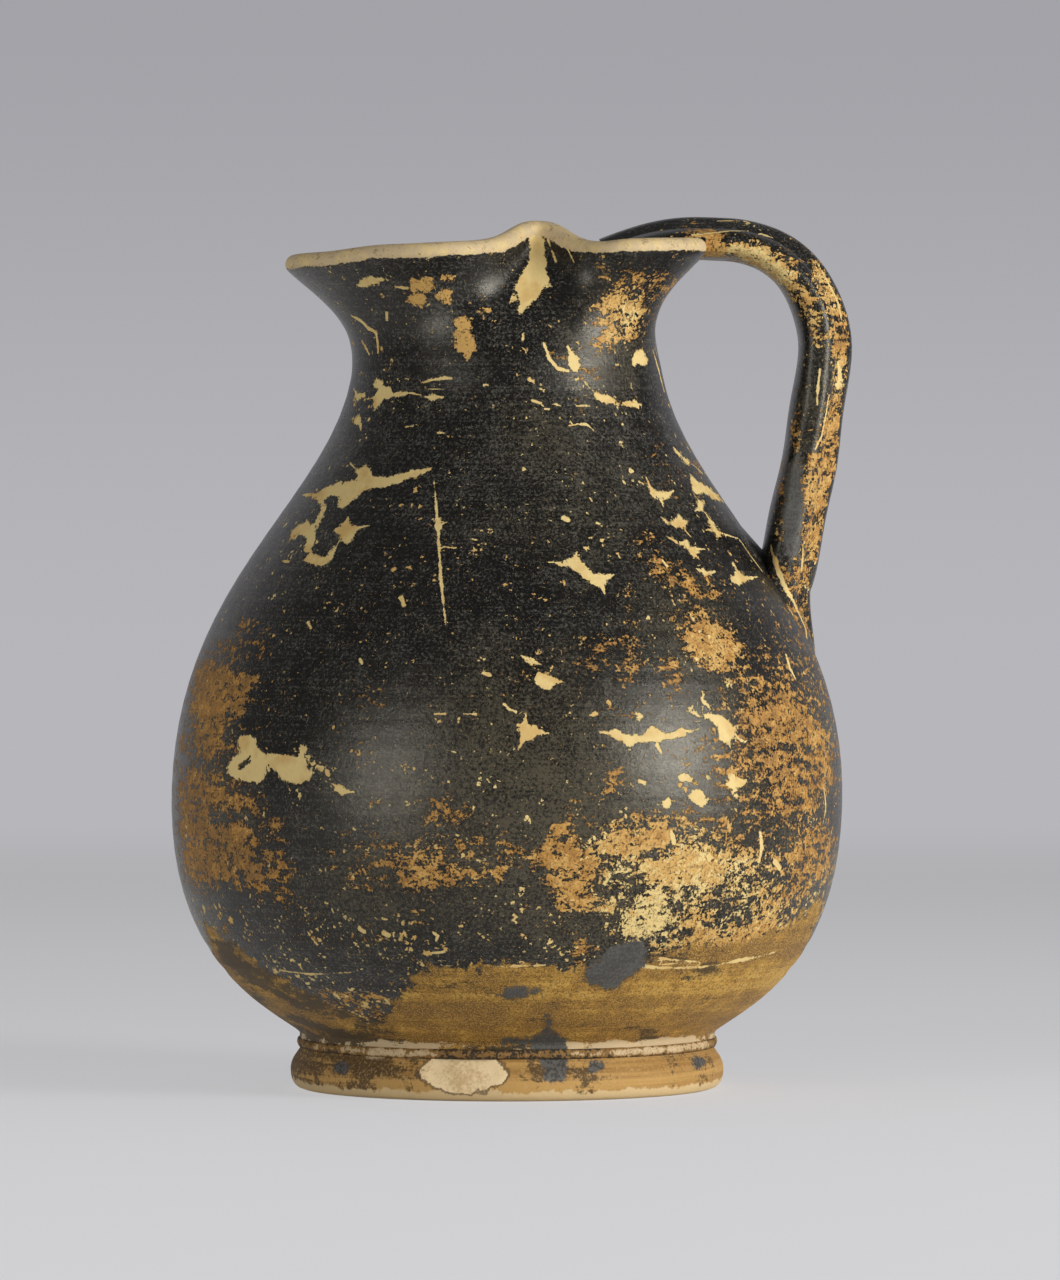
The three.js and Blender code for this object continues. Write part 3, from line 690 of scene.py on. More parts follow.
def camera_axes():
    """The camera's right, up and forward directions."""
    forward = (AIM - EYE) / np.linalg.norm(AIM - EYE)
    right = np.cross(forward, [0, 0, 1])
    right /= np.linalg.norm(right)
    return right, np.cross(right, forward), forward


def pixel_of(points):
    """Where points of the row frame fall in the photograph, in its pixels."""
    right, up, forward = camera_axes()
    seen = points - EYE
    depth = seen @ forward
    x = PHOTO_WIDTH / 2 + FOCAL_PIXELS * (seen @ right) / depth
    y = PHOTO_HEIGHT / 2 - FOCAL_PIXELS * (seen @ up) / depth
    return x, y


def on_surface(tree, x, y):
    """The point of a surface that lies under a pixel of the photograph, or the nearest to it."""
    right, up, forward = camera_axes()
    way = forward * FOCAL_PIXELS + right * (x - PHOTO_WIDTH / 2) - up * (y - PHOTO_HEIGHT / 2)
    way /= np.linalg.norm(way)
    hit = tree.ray_cast(Vector(EYE), Vector(way))[0]
    if hit is None:
        beside = Vector(EYE + way * np.dot(AIM - EYE, way))
        hit = tree.find_nearest(beside)[0]
    return np.array(hit)


def stroke_field(points, tree, strokes):
    """Marks the wear strokes on a surface. For each point it gives the vector to the nearest
    stroke's centre line, that stroke's half width there and the distance to its edge. The vector
    changes evenly across a thin stroke, so the stroke stays sharp on a mesh coarser than it."""
    offset = np.full((len(points), 3), FAR)
    half = np.zeros(len(points))
    edge = np.full(len(points), FAR)
    for stroke in strokes:
        spots = [on_surface(tree, x, y) for x, y, _ in stroke]
        widths = [w * METRES_PER_PIXEL for _, _, w in stroke]
        for a, b, wide_a, wide_b in zip(spots, spots[1:], widths, widths[1:]):
            reach = np.linalg.norm(b - a) / 2 + 0.006
            near = np.flatnonzero(np.linalg.norm(points - (a + b) / 2, axis=1) < reach)
            along = b - a
            t = np.clip((points[near] - a) @ along / max(along @ along, 1e-12), 0, 1)
            away = a + t[:, None] * along - points[near]
            width = wide_a + t * (wide_b - wide_a)
            gap = np.linalg.norm(away, axis=1) - width
            nearer = gap < edge[near]
            kept = near[nearer]
            offset[kept], half[kept], edge[kept] = away[nearer], width[nearer], gap[nearer]
    return offset, half, edge


def sharp_ends(shapes):
    """Short tapering strokes that carry the outlines' sharp corners to their ends: for each corner
    narrower than it is long, from well inside the flake to the corner itself."""
    strokes = []
    for outline in shapes:
        ahead, behind = outline[1:] + outline[:1], outline[-1:] + outline[:-1]
        for before, corner, after in zip(behind, outline, ahead):
            inside = np.add(before, after) / 2
            spread = np.hypot(*np.subtract(before, after))
            reach = np.hypot(*np.subtract(inside, corner))
            if reach > 0.8 * spread:
                start = inside + 0.3 * (corner - inside)
                tip = corner + 0.15 * (corner - inside)
                strokes.append([(*start, min(0.3 * spread, 2.2)), (*tip, 0.5)])
    return strokes


def outline_distance(x, y, corners):
    """Signed distance in pixels from points to a closed outline, negative inside it: the least
    distance to its edges, with its sign from how often the edges cross a line to the left."""
    ring = np.array(corners, float)
    found = np.full(len(x), np.inf)
    inside = np.zeros(len(x), bool)
    for (ax, ay), (bx, by) in zip(ring, np.roll(ring, -1, axis=0)):
        dx, dy = bx - ax, by - ay
        t = np.clip(((x - ax) * dx + (y - ay) * dy) / (dx * dx + dy * dy), 0, 1)
        found = np.minimum(found, np.hypot(x - ax - t * dx, y - ay - t * dy))
        if dy:
            inside ^= ((ay > y) != (by > y)) & (x < ax + dx * (y - ay) / dy)
    return np.where(inside, -found, found)


def shape_field(x, y, shapes):
    """Least signed distance in pixels to any of the shapes, at most FAR_PIXELS."""
    found = np.full(len(x), FAR_PIXELS)
    for corners in shapes:
        low, high = np.min(corners, axis=0) - FAR_PIXELS, np.max(corners, axis=0) + FAR_PIXELS
        near = np.flatnonzero((x > low[0]) & (x < high[0]) & (y > low[1]) & (y < high[1]))
        found[near] = np.minimum(found[near], outline_distance(x[near], y[near], corners))
    return found


def cloud_field(x, y, clouds):
    """The strongest of soft ovals: each falls off as e to the minus 0.7 r^3."""
    found = np.zeros(len(x))
    for px, py, half_width, half_height, strength in clouds:
        reach = ((x - px) / half_width) ** 2 + ((y - py) / half_height) ** 2
        found = np.maximum(found, strength * np.exp(-0.7 * reach ** 1.5))
    return found


def rubbed_field(x, y, shapes, clouds):
    """How far the slip is rubbed away and how pale the clay is there. A shape is full inside and
    falls to nothing over a few pixels across its outline."""
    rubbed, pale = cloud_field(x, y, clouds), np.full(len(x), 0.1)
    for strength, paleness, corners in shapes:
        away = shape_field(x, y, [corners]) / FADE_PIXELS
        pale += (paleness - pale) * np.clip(0.5 - away, 0, 1)
        rubbed = np.maximum(rubbed, strength * np.clip(0.75 - away, 0, 1))
    return rubbed, pale


def keep_number(piece, name, values):
    """Stores one number a vertex on a piece."""
    field = piece.data.attributes.new(name, "FLOAT", "POINT")
    field.data.foreach_set("value", np.asarray(values, np.float32))


def keep_vector(piece, name, values):
    """Stores one vector a vertex on a piece."""
    field = piece.data.attributes.new(name, "FLOAT_VECTOR", "POINT")
    field.data.foreach_set("vector", np.asarray(values, np.float32).ravel())


def vertices_of(piece):
    """The piece's vertices as an array of points."""
    found = np.empty(len(piece.data.vertices) * 3, np.float32)
    piece.data.vertices.foreach_get("co", found)
    return found.reshape(-1, 3).astype(float)


def surface_tree(piece):
    """A search tree over a piece's faces."""
    mesh = piece.data
    return BVHTree.FromPolygons([v.co for v in mesh.vertices], [p.vertices for p in mesh.polygons])


def seen_share(points, normals):
    """1 where the camera sees a point's surface and 0 where it doesn't, by the way it faces."""
    view = EYE - points
    view /= np.linalg.norm(view, axis=1, keepdims=True)
    return ramp((normals * view).sum(axis=1), -0.02, 0.06) * ramp(-points[:, 1], 0.0, 0.003)


def keep_wear(piece, wear, far):
    """Stores what the finishes read: flakes, strokes and spills in millimetres, rubbing, paleness,
    and the olive field that is partly slip worn thin and partly painted sheen. The far side, which
    the photograph doesn't show, repeats the near side's marks turned or mirrored by far. What faces
    neither way gets soft waves of rubbing."""
    points = vertices_of(piece)
    normals = np.empty(len(points) * 3, np.float32)
    piece.data.vertex_normals.foreach_get("vector", normals)
    side = np.where(points[:, 1:2] < 0, (1, 1, 1), far)
    place = points * side
    seen = seen_share(place, normals.reshape(-1, 3) * side)
    x, y = pixel_of(place)
    unseen = 4.0 * (1 - seen)
    strokes = wear["strokes"] + sharp_ends(wear["shapes"])
    offset, half, edge = stroke_field(place, surface_tree(piece), strokes)
    flake = np.maximum(shape_field(x, y, wear["shapes"]), -shape_field(x, y, wear["holes"]))
    rubbed, pale = rubbed_field(x, y, wear["rubbed"], wear["clouds"])
    turn = np.arctan2(points[:, 1], points[:, 0])
    waves = np.sin(3 * turn + 40 * points[:, 2]) * np.sin(2 * turn - 55 * points[:, 2] + 1)
    hidden = np.clip(0.2 + 0.4 * waves + 0.2 * ramp(points[:, 2], 0.10, 0.04), 0, 0.8)
    keep_vector(piece, "stroke_offset", offset * MM_PER_METRE)
    keep_number(piece, "stroke_half", half * MM_PER_METRE)
    keep_number(piece, "stroke_edge", edge * MM_PER_METRE + unseen)
    keep_number(piece, "flake", flake * MM_PER_PIXEL + unseen)
    keep_number(piece, "tan", shape_field(x, y, wear["tans"]) * MM_PER_PIXEL + unseen)
    keep_number(piece, "slate", shape_field(x, y, wear["slates"]) * MM_PER_PIXEL + unseen)
    keep_number(piece, "rubbed", rubbed * seen + hidden * (1 - seen))
    keep_number(piece, "pale", pale * seen + 0.15 * (1 - seen))
    # The olive field: slip worn thin, and painted sheen where the ovals lie over the belly's
    # middle.
    keep_number(piece, "thin_and_sheen", cloud_field(x, y, THIN_AND_SHEEN_CLOUDS) * seen + 0.5 * (1 - seen))


class Value:
    """A shader socket that takes part in Python sums; each sum adds its Math node."""

    def __init__(self, build, socket):
        self.build, self.socket = build, socket

    def math(self, operation, *others):
        inputs = dict(enumerate((self, *others)))
        return self.build.node("ShaderNodeMath", {"operation": operation}, inputs)

    def __add__(self, other):
        return self.math("ADD", other)

    def __radd__(self, other):
        return self.math("ADD", other)

    def __sub__(self, other):
        return self.math("SUBTRACT", other)

    def __rsub__(self, other):
        return self.build.node("ShaderNodeMath", {"operation": "SUBTRACT"}, {0: other, 1: self})

    def __mul__(self, other):
        return self.math("MULTIPLY", other)

    def __rmul__(self, other):
        return self.math("MULTIPLY", other)

    def __truediv__(self, other):
        return self.math("DIVIDE", other)

    def __pow__(self, other):
        return self.math("POWER", other)

    def __neg__(self):
        return self.math("MULTIPLY", -1.0)

    def step(self, limit, softness, under, over):
        """One value under the limit and another over it, with a soft edge."""
        return self.build.node(
            "ShaderNodeMapRange", {"interpolation_type": "SMOOTHSTEP"},
            {"Value": self, "From Min": limit - softness, "From Max": limit + softness,
             "To Min": under, "To Max": over})

    def below(self, limit, softness):
        """1 under the limit and 0 over it, with a soft edge."""
        return self.step(limit, softness, 1.0, 0.0)

    def above(self, limit, softness):
        """0 under the limit and 1 over it, with a soft edge."""
        return self.step(limit, softness, 0.0, 1.0)

    def most(self, other):
        """The greater of the two."""
        return self.math("MAXIMUM", other)


class Finish:
    """Builds one material: nodes by type, settings and inputs, patterns on Object coordinates."""

    def __init__(self, name):
        self.material = bpy.data.materials.new(name)
        self.material.use_nodes = True
        self.tree = self.material.node_tree
        self.tree.nodes.clear()
        self.place = self.node("ShaderNodeTexCoord", {}, {}, "Object")

    def node(self, kind, settings, inputs, output=None):
        """Adds a node: first its settings, then its inputs as values or links. Gives one output."""
        made = self.tree.nodes.new(kind)
        for key, value in settings.items():
            setattr(made, key, value)
        for key, value in inputs.items():
            socket = made.inputs[key]
            if isinstance(value, Value):
                self.tree.links.new(value.socket, socket)
            else:
                socket.default_value = value
        if output is None:
            shown = [s for s in made.outputs if s.enabled]
            return Value(self, shown[0])
        return Value(self, made.outputs[output])

    def stored(self, name, output="Fac"):
        return self.node("ShaderNodeAttribute", {"attribute_name": name}, {}, output)

    def along(self, axis):
        """The place along one of the axes of the Object coordinates, in metres."""
        return self.node("ShaderNodeSeparateXYZ", {}, {0: self.place}, axis)

    def stretched(self, x, y, z):
        """Object coordinates stretched along each axis."""
        return self.node("ShaderNodeMapping", {}, {"Vector": self.place, "Scale": (x, y, z)})

    def noise(self, scale, detail=3.0, roughness=0.55, vector=None):
        """A cloud of values around 0.5, so many waves a metre."""
        return self.node(
            "ShaderNodeTexNoise", {"noise_dimensions": "3D"},
            {"Vector": vector or self.place, "Scale": scale, "Detail": detail,
             "Roughness": roughness}, "Fac")

    def wobble(self, amount, scale, detail=3.0, roughness=0.55):
        """A cloud of values around 0: how far the noise is from its middle, times amount."""
        return (self.noise(scale, detail, roughness) - 0.5) * amount

    def cells(self, scale, vector):
        """Distance to the nearest of scattered points, in cells."""
        return self.node(
            "ShaderNodeTexVoronoi", {"feature": "F1"},
            {"Vector": vector, "Scale": scale}, "Distance")

    def mix(self, share, a, b):
        """Colour a turning to colour b by share."""
        made = self.tree.nodes.new("ShaderNodeMix")
        made.data_type = "RGBA"
        for index, value in ((0, share), (6, a), (7, b)):
            if isinstance(value, Value):
                self.tree.links.new(value.socket, made.inputs[index])
            elif index == 0:
                made.inputs[index].default_value = value
            else:
                made.inputs[index].default_value = (*value, 1.0)
        return Value(self, made.outputs[2])

    def close(self, colour, roughness, height, depth):
        """Ends the material: a glossy surface with its colour, roughness and relief."""
        bump = self.node(
            "ShaderNodeBump", {}, {"Height": height, "Distance": depth, "Strength": 1.0}, "Normal")
        surface = self.node(
            "ShaderNodeBsdfPrincipled", {},
            {"Base Color": colour, "Roughness": roughness, "Normal": bump, "IOR": GLOSS_IOR,
             "Specular Tint": SHEEN_TINT}, "BSDF")
        self.out(surface)
        return self.material

    def out(self, surface):
        end = self.tree.nodes.new("ShaderNodeOutputMaterial")
        self.tree.links.new(surface.socket, end.inputs["Surface"])


def ragged(make, coarse, fine):
    """An even and a fine broken edge, in millimetres either way."""
    return make.wobble(coarse, 520.0, 3.0, 0.6) + make.wobble(fine, 1900.0, 3.0, 0.7)


def flake_mask(make, edge):
    """1 inside the flakes: inside an outline, or nearer to a stroke's centre line than its half
    width where that stroke's own edge is near. Noise breaks the edge up."""
    offset = make.stored("stroke_offset", "Vector")
    away = make.node("ShaderNodeVectorMath", {"operation": "LENGTH"}, {0: offset}, "Value")
    stroke = (away - make.stored("stroke_half") + edge * 0.45).below(0.0, 0.07)
    stroke = stroke * make.stored("stroke_edge").below(1.5, 0.3)
    return stroke.most((make.stored("flake") + edge).below(0.0, 0.09))


def rubbed_mask(make, rubbed):
    """1 where the slip is rubbed through: the rubbing plus clouds, streaks along the wheel and
    a fine grain, cut off sharply, so that its edges break into specks and pores."""
    grain = make.noise(1500.0, 4.0, 0.75)
    clouds = make.noise(360.0, 3.0, 0.6, make.stretched(1.0, 1.0, 1.7))
    streaks = make.noise(90.0, 3.0, 0.6, make.stretched(0.4, 0.4, 6.0))
    level = rubbed * 1.08 + (grain - 0.5) * 2.2 + (clouds - 0.5) * 2.1 + (streaks - 0.5) * 1.0
    return level.above(0.74, 0.05)


def speck_mask(make, scale, size, share):
    """1 inside small lone chips: a scattered few of the points of a fine cell pattern."""
    bend = {"Vector": make.place, "Scale": scale * 2.2, "Detail": 3.0}
    bend = {0: make.node("ShaderNodeTexNoise", {}, bend, "Color"), "Scale": 1.1 / scale}
    bend = make.node("ShaderNodeVectorMath", {"operation": "SCALE"}, bend)
    warped = make.node("ShaderNodeVectorMath", {"operation": "ADD"}, {0: make.place, 1: bend})
    few = make.noise(scale * 0.37, 2.0, 0.5) + share
    return (make.cells(scale, warped) - few * 0.9).below(size - 0.62, 0.03)


def gloss_colour(make, colours, grit, soft):
    """The black slip with its fine paler grain, olive where it is worn thin and where painted sheen
    lies.
    """
    thin_and_sheen = make.stored("thin_and_sheen") + (soft - 0.5) * 1.6
    gloss = make.mix(grit.above(0.58, 0.09), colours.gloss, colours.grain)
    # The olive mix is partly thin slip and partly painted sheen.
    return make.mix(thin_and_sheen.above(0.55, 0.45) * grit.above(0.50, 0.10), gloss, colours.thin_and_sheen)


def rubbed_colour(make, colours, fine, finer):
    """Clay under rubbed slip: stained, orange, tan or cream by how pale it is, with dark pores."""
    tone = make.stored("pale") * 1.1 + make.wobble(1.8, 420.0, 3.0, 0.7)
    tone = tone + make.wobble(0.9, 90.0, 2.0)
    clay = make.mix(tone.above(0.22, 0.28), colours.orange, colours.tan)
    clay = make.mix(tone.above(0.72, 0.14), clay, colours.cream)
    # Paleness below zero turns the clay to rust. In the left side's patches this is partly stain
    # and partly painted shade.
    clay = make.mix(tone.below(-0.12, 0.3) * 0.8, clay, colours.rust)
    return make.mix((fine * 0.7 + finer * 0.3).below(0.455, 0.06) * 0.75, clay, colours.pores)


def flake_colour(make, colours, fine):
    """Clay under a fresh flake: cream with tan clouds and a paler grain."""
    clouds = make.noise(160.0, 3.0, 0.6).above(0.56, 0.14)
    clay = make.mix(clouds * 0.8, colours.cream, colours.tan)
    return make.mix(fine.above(0.60, 0.1) * 0.35, clay, colours.pale)


def lip_colour(make, colours, fine):
    """The rubbed lip: pale clay with cream clouds and dark pores."""
    clouds = make.noise(240.0, 4.0, 0.7).above(0.54, 0.12)
    clay = make.mix(clouds * 0.6, colours.pale, colours.cream)
    pores = (fine * 0.6 + make.noise(420.0, 3.0) * 0.4).above(0.585, 0.05)
    return make.mix(pores * 0.7, clay, colours.lip_pores)


def band_colour(make, colours, height, fine, finer):
    """The bare band: ochre with streaks along the wheel, pores and specks, slip that ran over it,
    most of all at the left and low down, and pale slip smeared from the joint below it."""
    left = make.along("X").below(-0.028, 0.014)
    streak = make.noise(16.0, 5.0, 0.7, make.stretched(0.3, 0.3, 16.0)) * 0.6
    streak = streak + make.noise(130.0, 4.0, 0.7) * 0.4
    ochre = make.mix(streak.above(0.50, 0.07), colours.ochre, colours.band_dark)
    ochre = make.mix(streak.below(0.45, 0.04) * 0.8, ochre, colours.band_light)
    ochre = make.mix(fine.above(0.53, 0.05) * 0.75, ochre, colours.band_pores)
    ochre = make.mix(finer.below(0.44, 0.05) * 0.6, ochre, colours.band_specks)
    run = height.below(13.6, 1.6) * 0.14 + left * 0.15
    run = run + make.noise(90.0, 4.0, 0.7, make.stretched(0.5, 0.5, 1.6)) + (fine - 0.5) * 0.3
    ochre = make.mix(run.above(0.64, 0.04) * 0.85, ochre, colours.band_runs)
    over = height - SMEAR_HEIGHT_MM
    smear = make.stored("clean") * 0.22
    smear = smear + make.noise(150.0, 4.0, 0.75, make.stretched(0.6, 0.6, 1.6)) + (fine - 0.5) * 0.3
    smear = smear + make.wobble(0.5, 60.0, 2.0) - over * over * 0.07
    return make.mix(smear.above(0.60, 0.03) * 0.9, ochre, colours.pale)


def gloss_finish(name, colours, bare_band=False):
    """Black slip over orange clay. From the clay up: clay, rubbed specks and patches, flakes that
    show the clay cream, grey spills, and the rubbed lip. bare_band adds the ochre band above the
    foot that the slip never covered."""
    make = Finish(name)
    height = make.along("Z") * MM_PER_METRE
    fine = make.noise(1500.0, 4.0, 0.75)
    finer = make.noise(3200.0, 2.0, 0.6)
    soft = make.noise(22.0, 3.0, 0.6)
    hair = make.noise(60.0, 3.0, 0.6, make.stretched(0.2, 0.2, 40.0))
    low = height.below(52.0, 26.0).most(make.stored("pale").above(0.1, 0.3) * 0.9)
    grit = make.noise(1500.0, 3.0, 0.9) + (hair - 0.5) * 0.2 + (soft - 0.5) * 0.2
    grit = grit + make.wobble(0.2, 200.0, 3.0, 0.6)
    edge = ragged(make, 2.1, 1.6)

    salt = finer.above(0.70, 0.02) * (make.noise(130.0, 2.0) + low * 0.10).above(0.56, 0.12)
    colour = make.mix(salt * 0.6, gloss_colour(make, colours, grit, soft), colours.tan)
    worn = rubbed_mask(make, make.stored("rubbed") + make.wobble(0.35, 60.0, 3.0, 0.6))
    colour = make.mix(worn, colour, rubbed_colour(make, colours, fine, finer))
    specks = speck_mask(make, 270.0, 0.135, low * 0.18)
    specks = specks.most(speck_mask(make, 640.0, 0.15, low * 0.19))
    specks = specks.most(speck_mask(make, 430.0, 0.13, low * 0.18))
    colour = make.mix(specks, colour, make.mix(soft.above(0.5, 0.1), colours.tan, colours.cream))
    tans = (make.stored("tan") + edge * 1.5).below(0.0, 0.09) * grit.below(0.62, 0.04)
    colour = make.mix(tans, colour, make.mix((fine - 0.15) * 0.6, colours.tan, colours.orange))
    flakes = flake_mask(make, edge)
    colour = make.mix(flakes, colour, flake_colour(make, colours, fine))
    missing = worn.most(specks).most(flakes).most(tans)

    if bare_band:
        line = make.stored("bare") + make.wobble(0.9, 70.0, 4.0, 0.65)
        bare = (line + make.wobble(0.9, 420.0, 4.0, 0.7)).above(0.5, 0.05)
        ochre = band_colour(make, colours, height, fine, finer)
        colour = make.mix(bare * (1.0 - flakes), colour, ochre)
        missing = missing.most(bare)

    spill = (make.stored("slate") + edge * 1.6 + (grit - 0.5) * 3.0).below(0.0, 0.3)
    slate = make.mix(grit.above(0.5, 0.12) * 0.7, colours.slate, colours.slate_grain)
    colour = make.mix(spill, colour, slate)
    missing = missing * (1.0 - spill)
    lip = make.stored("lip") + make.wobble(1.6, 170.0, 4.0, 0.7) + make.wobble(1.2, 900.0, 3.0, 0.7)
    rim = lip.below(1.15, 0.10)
    colour = make.mix(rim, colour, lip_colour(make, colours, fine))
    missing = missing.most(rim)

    roughness = 0.21 + make.noise(300.0, 3.0) * 0.14 + missing * 0.36 + spill * 0.16
    relief = hair * 0.15 + fine * 0.5 + finer * 0.3 + make.noise(520.0, 3.0, 0.6) * 0.6
    return make.close(colour, roughness, relief + (1.0 - missing) * 1.8, GLOSS_RELIEF)


def clay_finish(name, colours):
    """The foot's finish: ochre clay with thin rubbed slip, darkest at the left, streaks along the
    wheel, grey spills, a pale worn edge, pale slip smeared from the joint, and a chip that shows
    clean clay inside a dark line."""
    make = Finish(name)
    height = make.along("Z") * MM_PER_METRE
    streak = make.noise(24.0, 4.0, 0.65, make.stretched(0.3, 0.3, 14.0))
    cloud = make.noise(110.0, 4.0, 0.7)
    fine = make.noise(1400.0, 4.0, 0.75)
    left = make.along("X").below(-0.022, 0.012)
    dark = cloud * 0.75 + streak * 0.35 + fine * 0.25 + left * 0.11
    colour = make.mix(streak.above(0.50, 0.1), colours.foot, colours.foot_streaks)
    colour = make.mix(dark.above(0.745, 0.035) * 0.9, colour, colours.foot_dark)
    colour = make.mix(fine.below(0.43, 0.05) * 0.5, colour, colours.foot_specks)
    edge = height + make.wobble(5.0, 220.0, 4.0, 0.7)
    colour = make.mix(edge.below(2.3, 0.3) * 0.9, colour, colours.foot_edge)
    smear = make.stored("clean") * 0.35 + cloud + (fine - 0.5) * 0.3 + (height - 10.4) * 0.12
    colour = make.mix(smear.above(0.78, 0.05) * 0.85, colour, colours.pale)
    chip = make.stored("chip") + make.wobble(0.7, 200.0, 4.0, 0.7)
    clean = chip.above(0.5, 0.03)
    clouds = (cloud * 0.6 + fine * 0.4).above(0.53, 0.08)
    colour = make.mix(clean, colour, make.mix(clouds * 0.7, colours.chip, colours.chip_clouds))
    crack = chip.above(0.43, 0.02) * chip.below(0.52, 0.02)
    colour = make.mix(crack * 0.7, colour, colours.crack)
    spill = (make.stored("slate") + ragged(make, 3.0, 2.0) + (fine - 0.5) * 2.5).below(0.0, 0.3)
    grain = make.noise(1250.0, 1.5, 0.7).above(0.5, 0.1)
    colour = make.mix(spill, colour, make.mix(grain * 0.8, colours.slate, colours.slate_grain))
    roughness = 0.64 - spill * 0.15 + fine * 0.1
    relief = streak * 0.4 + fine * 0.6 + cloud * 0.5 - clean * 0.6
    return make.close(colour, roughness, relief, FOOT_RELIEF)


def slip_finish(name, colours):
    """The luting slip's bead: pale where it is rubbed clean, brown and black where it isn't."""
    make = Finish(name)
    cloud = make.noise(150.0, 4.0, 0.75)
    fine = make.noise(1200.0, 3.0, 0.7)
    over = make.along("Z") * MM_PER_METRE - BEAD_HEIGHT_MM
    clean = make.stored("clean") * 0.24 - 0.07 + cloud + (fine - 0.5) * 0.4 - over * over * 0.16
    colour = make.mix(clean.above(0.58, 0.03), colours.joint, colours.pale)
    colour = make.mix(clean.below(0.42, 0.03), colour, colours.joint_dark)
    colour = make.mix(fine.above(0.56, 0.08) * 0.5, colour, colours.joint_specks)
    return make.close(colour, 0.7 + fine * 0.15, cloud + fine * 0.4, SLIP_RELIEF)


def finish_piece(piece, node, material):
    """Gives a piece its finish and puts it in the place of its node."""
    piece.data.materials.append(material)
    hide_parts(node)
    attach(piece, "root")


def finish_handle_piece(piece, node, material):
    """Wears a piece of the handle, which mirrors its near side behind and has no rubbed lip."""
    keep_wear(piece, HANDLE_WEAR, MIRRORED_BEHIND)
    keep_number(piece, "lip", np.full(len(piece.data.vertices), FAR * MM_PER_METRE))
    finish_piece(piece, node, material)


def build_body(shape):
    """The thrown wall: outer grid, rounded lip, inner grid and both floors as one loft of rings."""
    angles = front_angles(320, 0.55)
    outer = wall_grid(shape, angles, 250)
    normal = normals_of(outer)
    thick = np.linspace(shape.wall, shape.lip_wall, len(outer))[:, None, None]
    up = outer[-1] - outer[-2]
    up /= np.linalg.norm(up, axis=1, keepdims=True)
    centre = outer[-1] - normal[-1] * shape.lip_wall / 2
    bend = np.linspace(0, np.pi, 12)[1:-1, None, None]
    lip = centre + shape.lip_wall / 2 * (np.cos(bend) * normal[-1] + np.sin(bend) * up)
    inner = (outer - thick * normal)[::-1]
    floor_top = shape.foot_height + FLOOR_THICKNESS
    inner = inner[inner[:, :, 2].min(axis=1) > floor_top + 0.002]
    inner = inner[np.unique(((len(inner) - 1) * np.linspace(0, 1, 30) ** 1.5).astype(int))]
    share = np.array([0.93, 0.8, 0.5, 0.2])[:, None, None]
    rise = np.array([0.0006, 0.0, 0.0002, 0.001])[:, None]
    floor = inner[-1] * share
    floor[:, :, 2] = floor_top + rise
    under = outer[0] * np.array([0.25, 0.6, 0.9])[:, None, None]
    under[:, :, 2] = shape.foot_height - np.array([0.001, 0.0003, 0.0])[:, None]
    return add_capped("gloss_body", np.concatenate([under, outer, lip, inner, floor])), centre


class JUG_OT_body(bpy.types.Operator):
    """Makes the thrown body with its trefoil mouth"""

    bl_idname = "jug.body"
    bl_label = "Body"

    def execute(self, context):
        shape, colours = context.scene.jug_shape, context.scene.jug_finish
        piece, lip_line = build_body(shape)
        points = vertices_of(piece)
        keep_wear(piece, BODY_WEAR, TURNED_BEHIND)
        thinner = 0.3 * ramp(points[:, 0], 0.010, 0.020)
        keep_number(piece, "lip", self.below_lip(points, lip_line) * MM_PER_METRE + thinner)
        keep_number(piece, "bare", self.bare_band(points))
        keep_number(piece, "clean", cloud_field(*pixel_of(points), CLEAN_SLIP))
        material = gloss_finish("black gloss", colours, bare_band=True)
        finish_piece(piece, "vessel_body", material)
        return {"FINISHED"}

    def below_lip(self, points, lip_line):
        """How far each point near the rounded lip lies below the lip's middle."""
        near = np.flatnonzero(points[:, 2] > LIP_ZONE)
        gap = sum((points[near, k][:, None] - lip_line[None, :, k]) ** 2 for k in range(3))
        below = lip_line[gap.argmin(axis=1), 2] - points[near, 2]
        found = np.full(len(points), FAR)
        found[near] = np.where(gap.min(axis=1) < LIP_REACH ** 2, below, FAR)
        return found

    def bare_band(self, points):
        """Above 0.5 in the band that the slip never covered: under an upper edge that dips at the
        left, where streaks of slip run down to the foot."""
        x, y = pixel_of(points)
        seen = ramp(-points[:, 1], -0.01, 0.02)
        front = 0.5 - outline_distance(x, y, BARE_BAND) / 45
        edge = 0.0275 + 0.003 * np.sin(3 * np.arctan2(points[:, 1], points[:, 0]))
        around = 0.5 + (edge - points[:, 2]) / 0.006
        outside = np.hypot(points[:, 0], points[:, 1]) > 0.049
        return np.clip(np.where(outside, front * seen + around * (1 - seen), 0.2), -1, 2)


